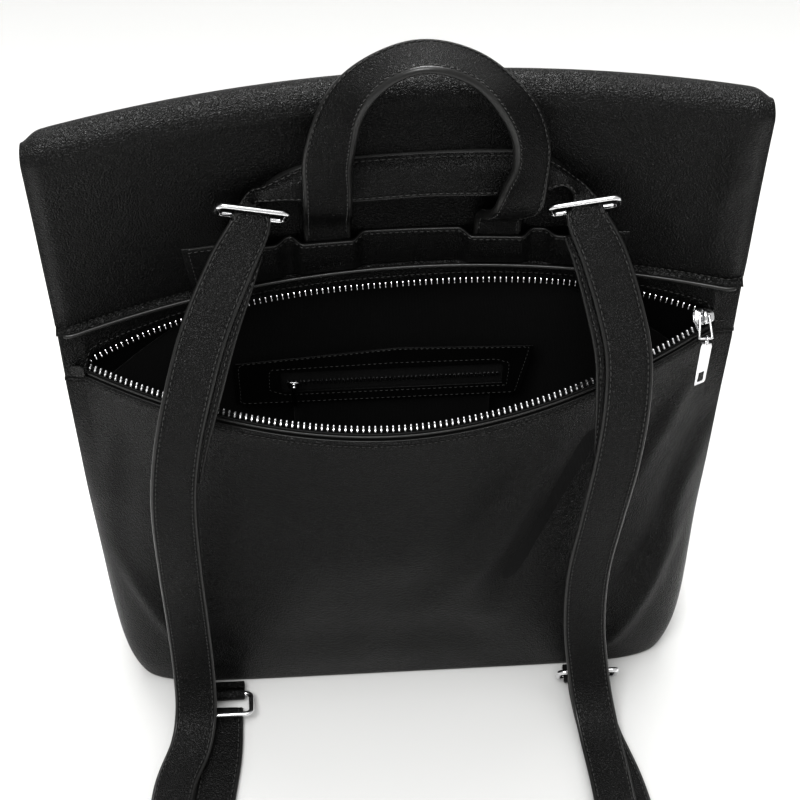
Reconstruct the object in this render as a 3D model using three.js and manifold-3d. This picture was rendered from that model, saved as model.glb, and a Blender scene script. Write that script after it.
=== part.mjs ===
// Leather foldover backpack: a soft boxed bag with a curved zip mouth in its back, a flap that
// folds over the front, one long shoulder strap run through four metal rings, and a top handle.
// Millimetres. X runs across the bag, +Y points out of its front, -Y is the strap side, +Z is up.
// The origin is the centre of the base, on the surface that the bag stands on.
import * as THREE from 'three';
import Module from 'manifold-3d';
import { mergeVertices } from 'three/addons/utils/BufferGeometryUtils.js';

// ---------------------------------------------------------------- driving dimensions
const HALF_WIDTH = 176;         // bag at the zip and above
const BASE_PULL_IN = 19;        // how much narrower each side is at the floor
const BASE_HALF_DEPTH = 46;
const PANEL_TOP = 224;          // middle of the back panel's top edge
const SEAM_HEIGHT = 265;        // seam between zip facing and upper back panel
const ROLL_RADIUS = 11;         // padded fold at the top
const ROLL_Y = 30;
const ROLL_Z = 387.5;
const FRONT_TOP = 372;
const FLAP_BOTTOM = 196;
const LEATHER = 2;
const LINING = 1.2;
const GAP = 0.6;                // free space left between neighbouring layers
const BASE_SHEET = 2.4;
const BOARD_SHEET = 2.5;
const ZIP_HALF = 166;           // half the length of the mouth
const ZIP_SLOPE = 0.048;        // the mouth rises to the right
const CHAIN = 3;                // width and height of a tooth row
const STRAP_WIDTH = 24;
const STRAP_THICK = 3;
const HANDLE_WIDTH = 24;
const HANDLE_THICK = 4;
const WIRE = 3;                 // metal rings
const RING_LONG = 37;
const RING_SHORT = 14;
const LOW_RING_SHORT = 20;
const PATCH_OUT = 7;            // the reinforcement stands over handle ends and ring tabs
const POCKET_Y = 37.5;          // plane of the inner pocket's facing
const SLIDER_AT = [158.5, 5.4, 249.5];

// ---------------------------------------------------------------- materials
const finish = (color, roughness, metalness = 0) =>
  new THREE.MeshStandardMaterial({ color, roughness, metalness });
const leather = () => finish(0x1b1b1d, 0.55);
const innerLeather = () => finish(0x161616, 0.7);
const liningCloth = () => finish(0x1a1a1c, 0.95);
const tapeCloth = () => finish(0x0e0e0f, 0.9);
const nickel = () => finish(0xd9dadb, 0.2, 1);
const board = () => finish(0x3a3733, 0.9);

// ---------------------------------------------------------------- helpers
const pack = new THREE.Group();

function addPart(name, geometry, material) {
  const mesh = new THREE.Mesh(geometry, material);
  mesh.name = name;
  pack.add(mesh);
  return mesh;
}

const clamp01 = (t) => Math.min(1, Math.max(0, t));
const ease = (t) => clamp01(t) ** 2 * (3 - 2 * clamp01(t));
const lerp = (a, b, t) => a + (b - a) * t;
const vec = (p) => new THREE.Vector3(...p);

// Six times the signed volume; negative when the faces point inwards.
function signedVolume(geometry) {
  const [a, b, c] = [new THREE.Vector3(), new THREE.Vector3(), new THREE.Vector3()];
  const { array } = geometry.index;
  let sum = 0;
  for (let i = 0; i < array.length; i += 3) {
    a.fromBufferAttribute(geometry.attributes.position, array[i]);
    b.fromBufferAttribute(geometry.attributes.position, array[i + 1]);
    c.fromBufferAttribute(geometry.attributes.position, array[i + 2]);
    sum += a.dot(b.cross(c));
  }
  return sum;
}

// Welds a geometry to one closed mesh with its faces pointing out.
function weld(geometry) {
  geometry.deleteAttribute('normal');
  geometry.deleteAttribute('uv');
  const welded = mergeVertices(geometry, 1e-4);
  if (signedVolume(welded) < 0) {
    const { array } = welded.index;
    for (let i = 0; i < array.length; i += 3) {
      [array[i], array[i + 1]] = [array[i + 1], array[i]];
    }
  }
  welded.computeVertexNormals();
  return welded;
}

// A box bent by a function: place(across, along, depth), each 0 to 1, gives the point.
function bentPlate(across, along, place) {
  const geometry = new THREE.BoxGeometry(1, 1, 1, across, 1, along);
  const { position } = geometry.attributes;
  for (let i = 0; i < position.count; i += 1) {
    const point = place(position.getX(i) + 0.5, position.getZ(i) + 0.5, position.getY(i) + 0.5);
    position.setXYZ(i, ...point);
  }
  return weld(geometry);
}

// A flat strap along a smooth curve. Each stop is [x, y, z, sx, sy, sz]: a point on the middle
// of the strap and the direction of its width there.
function ribbon(stops, width, thick, steps) {
  const points = stops.map((s) => vec(s.slice(0, 3)));
  const curve = new THREE.CatmullRomCurve3(points, false, 'centripetal');
  const widthAt = (t) => {
    const place = t * (stops.length - 1);
    const from = Math.min(stops.length - 2, Math.floor(place));
    const turn = ease(place - from);
    return vec(stops[from].slice(3)).lerp(vec(stops[from + 1].slice(3)), turn);
  };
  return bentPlate(1, steps, (across, along, depth) => {
    const tangent = curve.getTangent(along);
    const side = widthAt(along);
    side.addScaledVector(tangent, -side.dot(tangent)).normalize();
    const normal = new THREE.Vector3().crossVectors(side, tangent);
    const point = curve.getPoint(along).addScaledVector(side, (across - 0.5) * width);
    return point.addScaledVector(normal, (depth - 0.5) * thick).toArray();
  });
}

function roundedRectangle(path, width, height, corner) {
  const [x, y] = [width / 2, height / 2];
  path.moveTo(-x + corner, -y);
  path.lineTo(x - corner, -y);
  path.absarc(x - corner, -y + corner, corner, -Math.PI / 2, 0, false);
  path.lineTo(x, y - corner);
  path.absarc(x - corner, y - corner, corner, 0, Math.PI / 2, false);
  path.lineTo(-x + corner, y);
  path.absarc(-x + corner, y - corner, corner, Math.PI / 2, Math.PI, false);
  path.lineTo(-x, -y + corner);
  path.absarc(-x + corner, -y + corner, corner, Math.PI, Math.PI * 1.5, false);
  return path;
}

const extrude = (shape, depth, curveSegments = 4) => weld(
  new THREE.ExtrudeGeometry(shape, { depth, bevelEnabled: false, curveSegments })
    .translate(0, 0, -depth / 2),
);

// ---------------------------------------------------------------- booleans
const wasm = await Module();
wasm.setup();

function toSolid(geometry) {
  const vertProperties = new Float32Array(geometry.attributes.position.array);
  const triVerts = new Uint32Array(geometry.index.array);
  return new wasm.Manifold(new wasm.Mesh({ numProp: 3, vertProperties, triVerts }));
}

function toGeometry(solid) {
  const mesh = solid.getMesh();
  const geometry = new THREE.BufferGeometry();
  const positions = new Float32Array(mesh.vertProperties);
  geometry.setAttribute('position', new THREE.BufferAttribute(positions, 3));
  geometry.setIndex(new THREE.BufferAttribute(new Uint32Array(mesh.triVerts), 1));
  geometry.computeVertexNormals();
  return geometry;
}

const block = (x, y, z, at) => weld(new THREE.BoxGeometry(x, y, z).translate(...at));
const joined = (...parts) => toGeometry(parts.map(toSolid).reduce((a, b) => a.add(b)));
const cut = (whole, ...parts) => toGeometry(parts.map(toSolid).reduce((a, b) => a.subtract(b), toSolid(whole)));

// ---------------------------------------------------------------- shape of the bag
const halfWidth = (z) => HALF_WIDTH - BASE_PULL_IN * Math.exp(-z / 45);
const sideY = (z) => 8 * ease(z / 240);
const backDepth = (z) => BASE_HALF_DEPTH + 5 * (z / 230) + 8 * Math.sin(Math.PI * clamp01(z / 230));
const frontDepth = (z) =>
  BASE_HALF_DEPTH + 9 * Math.sin(Math.PI * clamp01(z / 300)) - 18 * ease((z - 200) / 185);

// Point of the wall: turn runs 0 to PI along the front and PI to 2 PI along the back. The section
// is a rounded box at the floor and a lens with its points at the side seams higher up.
function wall(turn, z, inset) {
  const lens = ease(z / 170);
  const [c, s] = [Math.cos(turn), Math.sin(turn)];
  const depth = (s >= 0 ? frontDepth(z) : backDepth(z)) - inset;
  const x = (halfWidth(z) - 1.5 * inset) * Math.sign(c) * Math.abs(c) ** lerp(0.28, 1, lens);
  const y = sideY(z) + depth * Math.sign(s) * Math.abs(s) ** lerp(0.28, 2, lens);
  return [x, y, z];
}

// One wall sheet between two insets; its low edge is level and its top edge follows a function.
function wallSheet(front, low, top, inset, thick, across, along) {
  const from = front ? Math.PI : 2 * Math.PI;
  const seamGap = front ? 0.4 : -0.4;
  return bentPlate(across, along, (u, v, w) => {
    const turn = from - u * Math.PI;
    const [edge] = wall(turn, PANEL_TOP, inset);
    const point = wall(turn, lerp(low, top(edge), v), inset + w * thick);
    return [point[0], point[1] + seamGap, point[2]];
  });
}

function baseSheet(z, thick, inset) {
  const outline = new THREE.Shape();
  const turns = Array.from({ length: 40 }, (_, i) => (i / 40) * Math.PI * 2 + 0.01);
  const corners = turns.map((turn) => wall(turn, 1, inset));
  outline.setFromPoints(corners.map(([x, y]) => new THREE.Vector2(x, y)));
  return extrude(outline, thick).translate(0, 0, z + thick / 2);
}

// Back face of the upper panel.
function upperBack(x, z) {
  const rise = (z - SEAM_HEIGHT) / 120;
  return 37 - 18 * rise - (33.5 - 12.5 * rise) * (x / HALF_WIDTH) ** 2;
}
const seamZ = (x) => SEAM_HEIGHT + 0.045 * x - 2 * (x / HALF_WIDTH) ** 2;
const rollY = (x) => ROLL_Y - 19 * (x / HALF_WIDTH) ** 2 + 0.02 * x;
const rollZ = (x) => ROLL_Z - 8.5 * (x / HALF_WIDTH) ** 2 + 0.01 * x;

// The two edges of the mouth, at the middle of the tooth rows.
function farLip(x) {
  const u = Math.abs(x / ZIP_HALF) ** 2.6;
  return [x, 36.5 - 29 * u, 251 - 12 * u + ZIP_SLOPE * x];
}
function nearLip(x) {
  const u = Math.abs(x / ZIP_HALF) ** 1.9;
  return [x, -42.6 + 51 * u, 228 + 11 * u + ZIP_SLOPE * x];
}
const nearEdge = (x) => nearLip(Math.max(-ZIP_HALF, Math.min(ZIP_HALF, x)))[2];

// ---------------------------------------------------------------- body shell and lining
const floorGap = BASE_SHEET + GAP;
addPart('bottom_panel', baseSheet(0, BASE_SHEET, 0), leather());
addPart('base_board', baseSheet(floorGap, BOARD_SHEET, LEATHER + 1), board());
const liningLow = floorGap + BOARD_SHEET + GAP;
addPart('lining_bottom', baseSheet(liningLow, LINING, 6.4), liningCloth());

const backTop = (x) => nearEdge(x) - 8;
addPart('back_lower_panel', wallSheet(false, floorGap, backTop, 0, LEATHER, 24, 8), leather());
addPart('front_panel', wallSheet(true, floorGap, () => FRONT_TOP, 0, LEATHER, 24, 10), leather());
const liningInset = LEATHER + 1.7;
const backLiningTop = (x) => nearEdge(x) - 16;
const frontLiningTop = (x) => 258 - 60 * (x / HALF_WIDTH) ** 2;
const backLining = wallSheet(false, liningLow, backLiningTop, liningInset, LINING, 24, 6);
const frontLining = wallSheet(true, liningLow, frontLiningTop, liningInset, LINING, 24, 7);
addPart('lining_back', backLining, liningCloth());
addPart('lining_front', frontLining, liningCloth());

// Upper back panel: up from the seam, then round the padded roll to the fold line.
const ROLL_SHARE = 0.3;
function upperPoint(u, v, inset, from, to) {
  const x = lerp(-HALF_WIDTH, HALF_WIDTH, u);
  const radius = ROLL_RADIUS - inset;
  const straight = 1 - ROLL_SHARE;
  if (v <= straight) {
    const z = lerp(seamZ(x), rollZ(x), v / straight);
    const reach = rollY(x) - ROLL_RADIUS - upperBack(x, rollZ(x));
    return [x, upperBack(x, z) + reach * (v / straight) + inset, z];
  }
  const turn = lerp(from, to, (v - straight) / ROLL_SHARE);
  return [x, rollY(x) + radius * Math.cos(turn), rollZ(x) + radius * Math.sin(turn)];
}
const FOLD_TURN = THREE.MathUtils.degToRad(96);
addPart('back_upper_panel', bentPlate(20, 12, (u, v, w) =>
  upperPoint(u, v, w * LEATHER, Math.PI, FOLD_TURN)), leather());

// ---------------------------------------------------------------- flap over the front
const FLAP_TURN = THREE.MathUtils.degToRad(88);
const FLAP_HALF = 173;
const FLAP_STAND_OFF = 4;
const FLAP_GAP = 1;
function flapPoint(u, v, inset) {
  const x = lerp(-FLAP_HALF, FLAP_HALF, u);
  const radius = ROLL_RADIUS - inset;
  if (v < 0.25) {
    const turn = lerp(FLAP_TURN, 0, v / 0.25);
    return [x, rollY(x) + radius * Math.cos(turn), rollZ(x) + radius * Math.sin(turn)];
  }
  const fall = (v - 0.25) / 0.75;
  const corner = 10 * Math.max(0, Math.abs(x / FLAP_HALF) * 8 - 7) ** 2;
  const z = lerp(rollZ(x), FLAP_BOTTOM + corner, fall);
  const round = Math.sqrt(1 - (x / HALF_WIDTH) ** 2);
  const front = sideY(z) + frontDepth(z) * round ** 2 + FLAP_STAND_OFF + LEATHER + FLAP_GAP + LINING;
  return [x, lerp(rollY(x) + ROLL_RADIUS, front, ease(fall * 2.2)) - inset, z];
}
addPart('flap_outer', bentPlate(16, 13, (u, v, w) => flapPoint(u, v, w * LEATHER)), leather());
addPart('flap_lining', bentPlate(16, 13, (u, v, w) =>
  flapPoint(lerp(0.01, 0.99, u), lerp(0.012, 0.985, v), LEATHER + FLAP_GAP + w * LINING)), innerLeather());

const SNAP_Z = 216;
const snapFront = sideY(SNAP_Z) + frontDepth(SNAP_Z) + 0.4;
const disc = (radius, thick, y) => weld(new THREE.CylinderGeometry(radius, radius, thick, 16)
  .translate(0, y + thick / 2, SNAP_Z));
addPart('snap_socket', disc(7, 1.2, snapFront + 0.4), nickel());
addPart('snap_stud', disc(6, 0.8, snapFront + 2), nickel());

// ---------------------------------------------------------------- zip mouth
// A strip along a lip. Each edge is offset from the lip by [y, z], and thick is added along Y.
function lipStrip(lip, half, lowEdge, highEdge, thick, across = 22) {
  return bentPlate(across, 1, (u, v, w) => {
    const [x, y, z] = lip(lerp(-half, half, u));
    const shape = [lerp(lowEdge[0], highEdge[0], v), lerp(lowEdge[1], highEdge[1], v)];
    return [x, y + shape[0] + w * thick, z + shape[1]];
  });
}
const CHAIN_HALF = ZIP_HALF - 15;
addPart('near_zip_facing', lipStrip(nearLip, ZIP_HALF - 3, [-2.6, -7.2], [-2.2, -1.8], 1.8), leather());
addPart('near_zip_tape', lipStrip(nearLip, ZIP_HALF - 5, [3, -13], [0.7, -2.2], 0.9), tapeCloth());
addPart('near_zip_chain', lipStrip(nearLip, CHAIN_HALF, [-1.5, -1.5], [-1.5, 1.5], CHAIN), nickel());
addPart('far_zip_facing', bentPlate(28, 1, (u, v, w) => {
  const x = lerp(-ZIP_HALF + 10, ZIP_HALF - 10, u);
  const [, lipY, lipZ] = farLip(x);
  const top = seamZ(x) - GAP;
  return [x, lerp(lipY + 0.6, upperBack(x, top) + 0.2, v) + w * 1.8, lerp(lipZ + 2.2, top, v)];
}), leather());
addPart('far_zip_tape', lipStrip(farLip, ZIP_HALF - 16, [2.9, 2], [2.9, 11], 0.8), tapeCloth());
addPart('far_zip_chain', lipStrip(farLip, CHAIN_HALF, [-1.5, -1.5], [-1.5, 1.5], CHAIN), nickel());
addPart('zip_end_tab', weld(extrude(roundedRectangle(new THREE.Shape(), 11, 9, 2), 1.6)
  .rotateX(Math.PI / 2).translate(-169, 1.4, 231)), leather());

// Slider: two shield plates on a post, with a bridge for the pull.
function sliderGeometry(size, plate) {
  const outline = roundedRectangle(new THREE.Shape(), size * 1.2, size, size * 0.3);
  const low = extrude(outline, plate, 3).translate(0, 0, -size * 0.22);
  const high = extrude(outline, plate, 3).translate(0, 0, size * 0.22);
  const post = block(size * 0.3, size * 0.26, size * 0.46, [size * 0.35, 0, 0]);
  const bridge = new THREE.Shape();
  bridge.moveTo(-size * 0.45, 0);
  bridge.quadraticCurveTo(0, size * 0.8, size * 0.45, 0);
  bridge.lineTo(size * 0.3, 0);
  bridge.quadraticCurveTo(0, size * 0.54, -size * 0.3, 0);
  const arch = extrude(bridge, size * 0.3, 5).rotateX(Math.PI / 2).rotateZ(Math.PI / 2)
    .translate(0, 0, size * 0.26);
  return joined(low, high, post, arch);
}
const slider = addPart('main_slider', sliderGeometry(9, 1.4), nickel());
slider.position.set(...SLIDER_AT);
slider.rotation.set(THREE.MathUtils.degToRad(35), 0, 0);

// Pull: a tapered wire link, then a flat plate with a slanted end and a slanted slot.
function trapezoid(path, topHalf, lowHalf, top, low) {
  path.moveTo(-topHalf, top);
  path.lineTo(-lowHalf, low);
  path.lineTo(lowHalf, low);
  path.lineTo(topHalf, top);
  path.closePath();
  return path;
}
const linkShape = trapezoid(new THREE.Shape(), 2.9, 4, 0.65, -12.6);
linkShape.holes.push(trapezoid(new THREE.Path(), 1.8, 2.8, -0.65, -11.2));
const link = addPart('pull_link', extrude(linkShape, 1.2), nickel());
link.position.set(SLIDER_AT[0], 3.25, 252.6);
link.rotation.set(THREE.MathUtils.degToRad(41), 0, 0);

const plateShape = new THREE.Shape();
plateShape.moveTo(-2.9, 1.4);
plateShape.lineTo(2.9, 1.4);
plateShape.lineTo(2.9, -29);
plateShape.lineTo(-2.9, -32.5);
plateShape.closePath();
const slot = new THREE.Path();
slot.moveTo(-1.3, -22);
slot.lineTo(-1.3, -29.2);
slot.lineTo(1.3, -27.6);
slot.lineTo(1.3, -20.4);
slot.closePath();
plateShape.holes.push(slot);
const PLATE_Y = -6.8;
const PLATE_TOP = 241;
const plate = addPart('pull_plate', extrude(plateShape, 1.4), nickel());
plate.position.set(SLIDER_AT[0] + 0.6, PLATE_Y, PLATE_TOP);
plate.rotation.set(Math.PI / 2, 0, 0);

// ---------------------------------------------------------------- inner zip pocket
const panelShape = new THREE.Shape();
panelShape.moveTo(-90, 157);
panelShape.lineTo(70, 157);
panelShape.lineTo(77, 196);
panelShape.lineTo(2, 199);
panelShape.lineTo(-90, 191);
panelShape.closePath();
const windowHole = new THREE.Path();
windowHole.moveTo(-64, 166);
windowHole.lineTo(60, 166);
windowHole.lineTo(60, 183);
windowHole.lineTo(-64, 183);
windowHole.closePath();
panelShape.holes.push(windowHole);
const standing = (geometry, y) => geometry.rotateX(Math.PI / 2).translate(0, y, 0);
addPart('pocket_facing', standing(extrude(panelShape, 1.4), POCKET_Y + 0.7), innerLeather());
addPart('pocket_tape', block(130, 0.9, 22, [-2, POCKET_Y + 2.3, 174.5]), tapeCloth());
addPart('pocket_chain', block(119, 1.2, 3, [-1.5, POCKET_Y + 1, 173]), nickel());
addPart('pocket_bag', block(112, 1.6, 72, [-2, POCKET_Y + 4.4, 125]), liningCloth());
const pocketSlider = extrude(roundedRectangle(new THREE.Shape(), 7, 5.6, 1.6), 1.2);
addPart('pocket_slider', pocketSlider.rotateX(Math.PI / 2)
  .translate(-57, POCKET_Y - 0.9, 173), nickel());
const tagShape = roundedRectangle(new THREE.Shape(), 3.2, 16.4, 1.4);
addPart('pocket_pull', extrude(tagShape, 1).rotateX(Math.PI / 2)
  .translate(-57, POCKET_Y - 2.6, 164.8), nickel());

// ---------------------------------------------------------------- reinforcement and handle
addPart('reinforcement_patch', bentPlate(12, 3, (u, v, w) => {
  const x = lerp(-108, 116, u);
  const z = lerp(seamZ(x) + 3, 297.5 + 4 * (2 * u - 1) ** 2, v);
  return [x, upperBack(x, z) - PATCH_OUT - w * LEATHER, z];
}), leather());

// The handle's two ends are sewn down and stay still; the arch between them leans.
const HANDLE_LEFT_END = [
  [-35.5, 30, 282, 1, 0.07, 0],
  [-35.5, 27.4, 299, 1, 0.07, 0],
  [-35.5, 25.4, 311, 1, 0.07, 0],
];
const HANDLE_RIGHT_END = [
  [51, 24.3, 309.4, -1, 0.1, 0],
  [50.4, 26.3, 299, -1, 0.1, 0],
  [50, 28.9, 282, -1, 0.1, 0],
];
const HANDLE_ARCH = [
  [-35.4, 24.2, 313.2, 1, 0.05, 0],
  [-35.3, 17.5, 323, 1, 0, 0],
  [-35.2, 8.5, 335, 1, 0, 0],
  [-35, 5.5, 351, 1, 0, 0],
  [-34, 3, 375, 0.95, -0.3, 0],
  [-25, 0, 409, 0.6, -0.8, 0.1],
  [-8, -3, 431, 0.2, -1, 0.1],
  [12, -4, 438, 0, -1, 0.1],
  [34.5, -3, 427, -0.2, -1, 0.1],
  [54, 0, 399, -0.5, -0.85, 0],
  [61, 2.5, 372, -0.75, -0.65, 0],
  [59.5, 4.5, 349, -0.95, -0.3, 0],
  [57, 5, 334, -1, 0, 0],
  [53.5, 13.5, 322, -1, 0, 0],
  [51.4, 22.2, 313.8, -1, 0.05, 0],
];
addPart('handle_end_left', ribbon(HANDLE_LEFT_END, HANDLE_WIDTH, HANDLE_THICK, 6), leather());
addPart('handle_end_right', ribbon(HANDLE_RIGHT_END, HANDLE_WIDTH, HANDLE_THICK, 6), leather());
addPart('handle', ribbon(HANDLE_ARCH, HANDLE_WIDTH, HANDLE_THICK, 42), leather());

// ---------------------------------------------------------------- rings and their leather tabs
function ringGeometry(long, short) {
  const outline = roundedRectangle(new THREE.Shape(), long, short, 4);
  outline.holes.push(roundedRectangle(new THREE.Path(), long - 2 * WIRE, short - 2 * WIRE, 2));
  return extrude(outline, WIRE, 3);
}

// A leather tab folded round a ring's bar: an eye and a tail, drawn in section.
const EYE_RADIUS = 3.5;
const EYE_HOLE = 2.4;
function tabGeometry(width, tail) {
  const section = new THREE.Shape();
  const open = Math.asin(1.4 / EYE_RADIUS);
  section.absarc(0, 0, EYE_RADIUS, -Math.PI / 2 + open, Math.PI * 1.5 - open, false);
  section.lineTo(-1.4, -tail);
  section.lineTo(1.4, -tail);
  section.closePath();
  const hole = new THREE.Path();
  hole.absarc(0, 0, EYE_HOLE, 0, Math.PI * 2, false);
  section.holes.push(hole);
  return extrude(section, width, 6);
}

// The ring hangs on its first bar; lean turns it out of the tab's plane, tilt turns both.
function ringAndTab(side, at, short, lean, tilt, tabLean, tail, width) {
  const hanger = new THREE.Group();
  hanger.position.set(...at);
  hanger.rotation.set(0, THREE.MathUtils.degToRad(tilt), 0);
  const loop = ringGeometry(RING_LONG, short).translate(0, (short - WIRE) / 2, 0);
  const ring = new THREE.Mesh(loop, nickel());
  ring.name = `${side[0]}_ring_${side[1]}`;
  ring.rotation.set(THREE.MathUtils.degToRad(lean), 0, 0);
  const fold = tabGeometry(width, tail).rotateY(Math.PI / 2).rotateX(Math.PI / 2);
  const tab = new THREE.Mesh(fold, leather());
  tab.name = `${side[0]}_ring_tab_${side[1]}`;
  tab.rotation.set(THREE.MathUtils.degToRad(tabLean), 0, 0);
  hanger.add(ring, tab);
  pack.add(hanger);
}
ringAndTab(['top', 'left'], [-73, 13.8, 327], RING_SHORT, 130, 13, 16, 24, 18);
ringAndTab(['top', 'right'], [91, 11.5, 325], RING_SHORT, 130, -9, 16, 24, 18);
ringAndTab(['bottom', 'left'], [-108, -58.5, 5.2], LOW_RING_SHORT, 165, 0, 88, 8, 26);
ringAndTab(['bottom', 'right'], [108, -58.5, 5.2], LOW_RING_SHORT, 150, 0, 88, 8, 26);

// ---------------------------------------------------------------- shoulder strap
const STRAP_LEFT = [
  [-73, 13.2, 334.7, 0.974, 0, -0.225],
  [-73, 9.75, 331.8, 0.974, 0, -0.225],
  [-73.2, 5.5, 328.2, 0.974, 0, -0.225],
  [-84, -7, 313, 1, 0, 0.05],
  [-98, -26, 289, 1, 0, 0.1],
  [-108, -42, 262, 1, 0, 0],
  [-116.5, -52, 227, 1, 0.1, 0],
  [-121, -57.5, 190, 1, 0.1, 0],
  [-122, -60.5, 140, 1, 0, 0],
  [-122, -61, 90, 1, 0, 0],
  [-122, -65, 45, 1, 0, 0],
  [-122.5, -76, 19, 1, 0, 0],
  [-126, -94, 9, 1, 0.1, 0],
  [-136, -124, 7.6, 1, 0.2, 0],
  [-140, -180, 9.8, 1, 0, 0],
  [-139, -245, 11.4, 1, 0, 0],
  [-136, -285, 17, 1, 0, 0],
  [-133, -300, 13, 1, 0, 0],
  [-130, -290, 4, 1, 0, 0],
  [-127, -268, 3.7, 1, -0.1, 0],
  [-121, -190, 3.7, 1, -0.1, 0],
  [-114, -133, 2.6, 1, -0.1, 0],
  [-109, -98, 2.2, 1, 0, 0],
  [-108, -67, 3, 1, 0, 0],
];
const STRAP_RIGHT = [
  [91, 10.9, 332.7, 0.988, 0, 0.156],
  [91, 7.45, 329.8, 0.988, 0, 0.156],
  [91.2, 3.2, 326.2, 0.988, 0, 0.156],
  [99, -7, 312, 1, 0, -0.1],
  [107, -20, 289, 1, 0, -0.1],
  [112, -34, 267, 1, 0, 0],
  [112, -46, 240, 1, -0.1, 0],
  [109, -54.5, 205, 1, -0.1, 0],
  [104, -60, 165, 1, 0, 0],
  [100, -63, 120, 1, 0, 0],
  [101, -66, 75, 1, 0, 0],
  [105, -72, 38, 1, 0, 0],
  [108, -82, 18, 1, 0, 0],
  [111, -102, 8, 1, 0, 0],
  [114, -138, 7.6, 1, 0, 0],
  [115, -190, 9.8, 1, 0, 0],
  [116, -245, 11.4, 1, 0, 0],
  [119, -288, 17, 1, 0, 0],
  [122, -303, 13, 1, 0, 0],
  [125, -293, 4, 1, 0, 0],
  [128, -270, 3.7, 1, 0, 0],
  [128, -190, 3.7, 1, 0, 0],
  [122, -135, 2.6, 1, 0.1, 0],
  [112, -100, 2.2, 1, 0.1, 0],
  [108, -67, 3, 1, 0, 0],
];
addPart('strap_left', ribbon(STRAP_LEFT, STRAP_WIDTH, STRAP_THICK, 56), leather());
addPart('strap_right', ribbon(STRAP_RIGHT, STRAP_WIDTH, STRAP_THICK, 56), leather());

// The middle of the same strap: it turns on edge above each ring and runs behind the handle.
const STRAP_ARCH = [
  [-71.5, 7.6, 341.5, 0.1, -1, 0],
  [-70, 7.2, 347, 0, -1, -0.1],
  [-63, 8.6, 350, 0, -0.9, -0.5],
  [-53, 14, 346, 0, -0.15, -1],
  [-22, 16.4, 344, 0, -0.15, -1],
  [15, 17.4, 344, 0, -0.15, -1],
  [52, 15.6, 344, 0, -0.15, -1],
  [73, 12.8, 345, 0, -0.2, -1],
  [81, 7, 348.5, 0, -0.9, -0.5],
  [87, 5, 346.5, 0, -1, -0.1],
  [89.5, 4.6, 341.8, -0.1, -1, 0],
];
addPart('strap_arch', ribbon(STRAP_ARCH, STRAP_WIDTH, STRAP_THICK, 40), leather());

// ---------------------------------------------------------------- strap adjusters
function adjusterGeometry() {
  const outline = roundedRectangle(new THREE.Shape(), STRAP_WIDTH + 9, 16, 3);
  const bar = extrude(outline, 7.2, 3);
  const tunnel = block(STRAP_WIDTH + 3, 20, 4.4, [0, 0, 0]);
  return cut(bar, tunnel);
}
const leftAdjuster = addPart('adjuster_left', adjusterGeometry(), nickel());
leftAdjuster.position.set(-124.1, -230, 3.7);
leftAdjuster.rotation.set(0, 0, THREE.MathUtils.degToRad(-4.4));
const rightAdjuster = addPart('adjuster_right', adjusterGeometry(), nickel());
rightAdjuster.position.set(128, -230, 3.7);

export default pack;
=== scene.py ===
# %% [markdown]
# # A leather foldover backpack, seen from its strap side
# The bag is soft pebbled leather over a boxed base, with a zip mouth curved across its back, a
# padded fold at the top, a round handle and one long strap that runs through four metal rings.
# The frame model already fixes every size and joint, so this script only adds the skin: each cell
# makes one piece as a surface worked out with numpy, then tells the frame which part it replaces.

# %% Load the frame
import math
import bpy
import numpy as np
from mathutils import Matrix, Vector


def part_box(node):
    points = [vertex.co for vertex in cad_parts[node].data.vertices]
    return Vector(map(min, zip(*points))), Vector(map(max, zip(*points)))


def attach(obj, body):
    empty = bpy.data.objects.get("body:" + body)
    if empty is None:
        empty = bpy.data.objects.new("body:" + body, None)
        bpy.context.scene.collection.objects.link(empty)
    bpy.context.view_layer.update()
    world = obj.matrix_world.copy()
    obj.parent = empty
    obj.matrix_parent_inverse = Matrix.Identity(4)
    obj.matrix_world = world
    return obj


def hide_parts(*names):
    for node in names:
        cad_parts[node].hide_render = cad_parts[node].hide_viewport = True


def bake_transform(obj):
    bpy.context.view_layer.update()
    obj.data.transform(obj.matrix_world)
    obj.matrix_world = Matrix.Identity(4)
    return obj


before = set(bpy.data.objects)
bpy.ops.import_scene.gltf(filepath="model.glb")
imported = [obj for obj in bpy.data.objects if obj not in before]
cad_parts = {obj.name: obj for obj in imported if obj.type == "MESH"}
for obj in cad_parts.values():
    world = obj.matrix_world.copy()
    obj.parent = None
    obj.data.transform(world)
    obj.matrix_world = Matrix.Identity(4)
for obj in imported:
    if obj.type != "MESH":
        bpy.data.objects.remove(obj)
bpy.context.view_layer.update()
MM = 0.001


def box_mm(node):
    """Lowest and highest corner of a frame node, in millimetres."""
    low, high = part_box(node)
    return np.array(low) / MM, np.array(high) / MM


half_width = box_mm("back_upper_panel")[1][0]
top_z = box_mm("back_upper_panel")[1][2]
print("bag is", round(2 * half_width), "mm wide and", round(top_z), "mm high")

# %% [markdown]
# ## Camera
# The view looks down on the back of the bag from head height. A camera is easiest to place by its
# own three axes, so the two angles and the small roll are turned into those axes and written
# straight into the camera's matrix, which leaves no hidden rotation order to get wrong.

# %% Camera
TURN, LOOK_DOWN, ROLL = np.radians([3.919, 50.0, 0.411])
CAMERA_AT = np.array([-44.927, -654.725, 981.499])
LENS_MM = 85.72


def camera_axes(turn, down, roll):
    """Right, up and backward axes. Forward is (sin turn cos down, cos turn cos down, -sin down)."""
    forward = np.array([np.sin(turn) * np.cos(down), np.cos(turn) * np.cos(down), -np.sin(down)])
    right = np.array([np.cos(turn), -np.sin(turn), 0.0])
    up = np.cross(right, forward)
    rolled_right = right * np.cos(roll) + up * np.sin(roll)
    rolled_up = up * np.cos(roll) - right * np.sin(roll)
    return rolled_right, rolled_up, -forward


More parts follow.
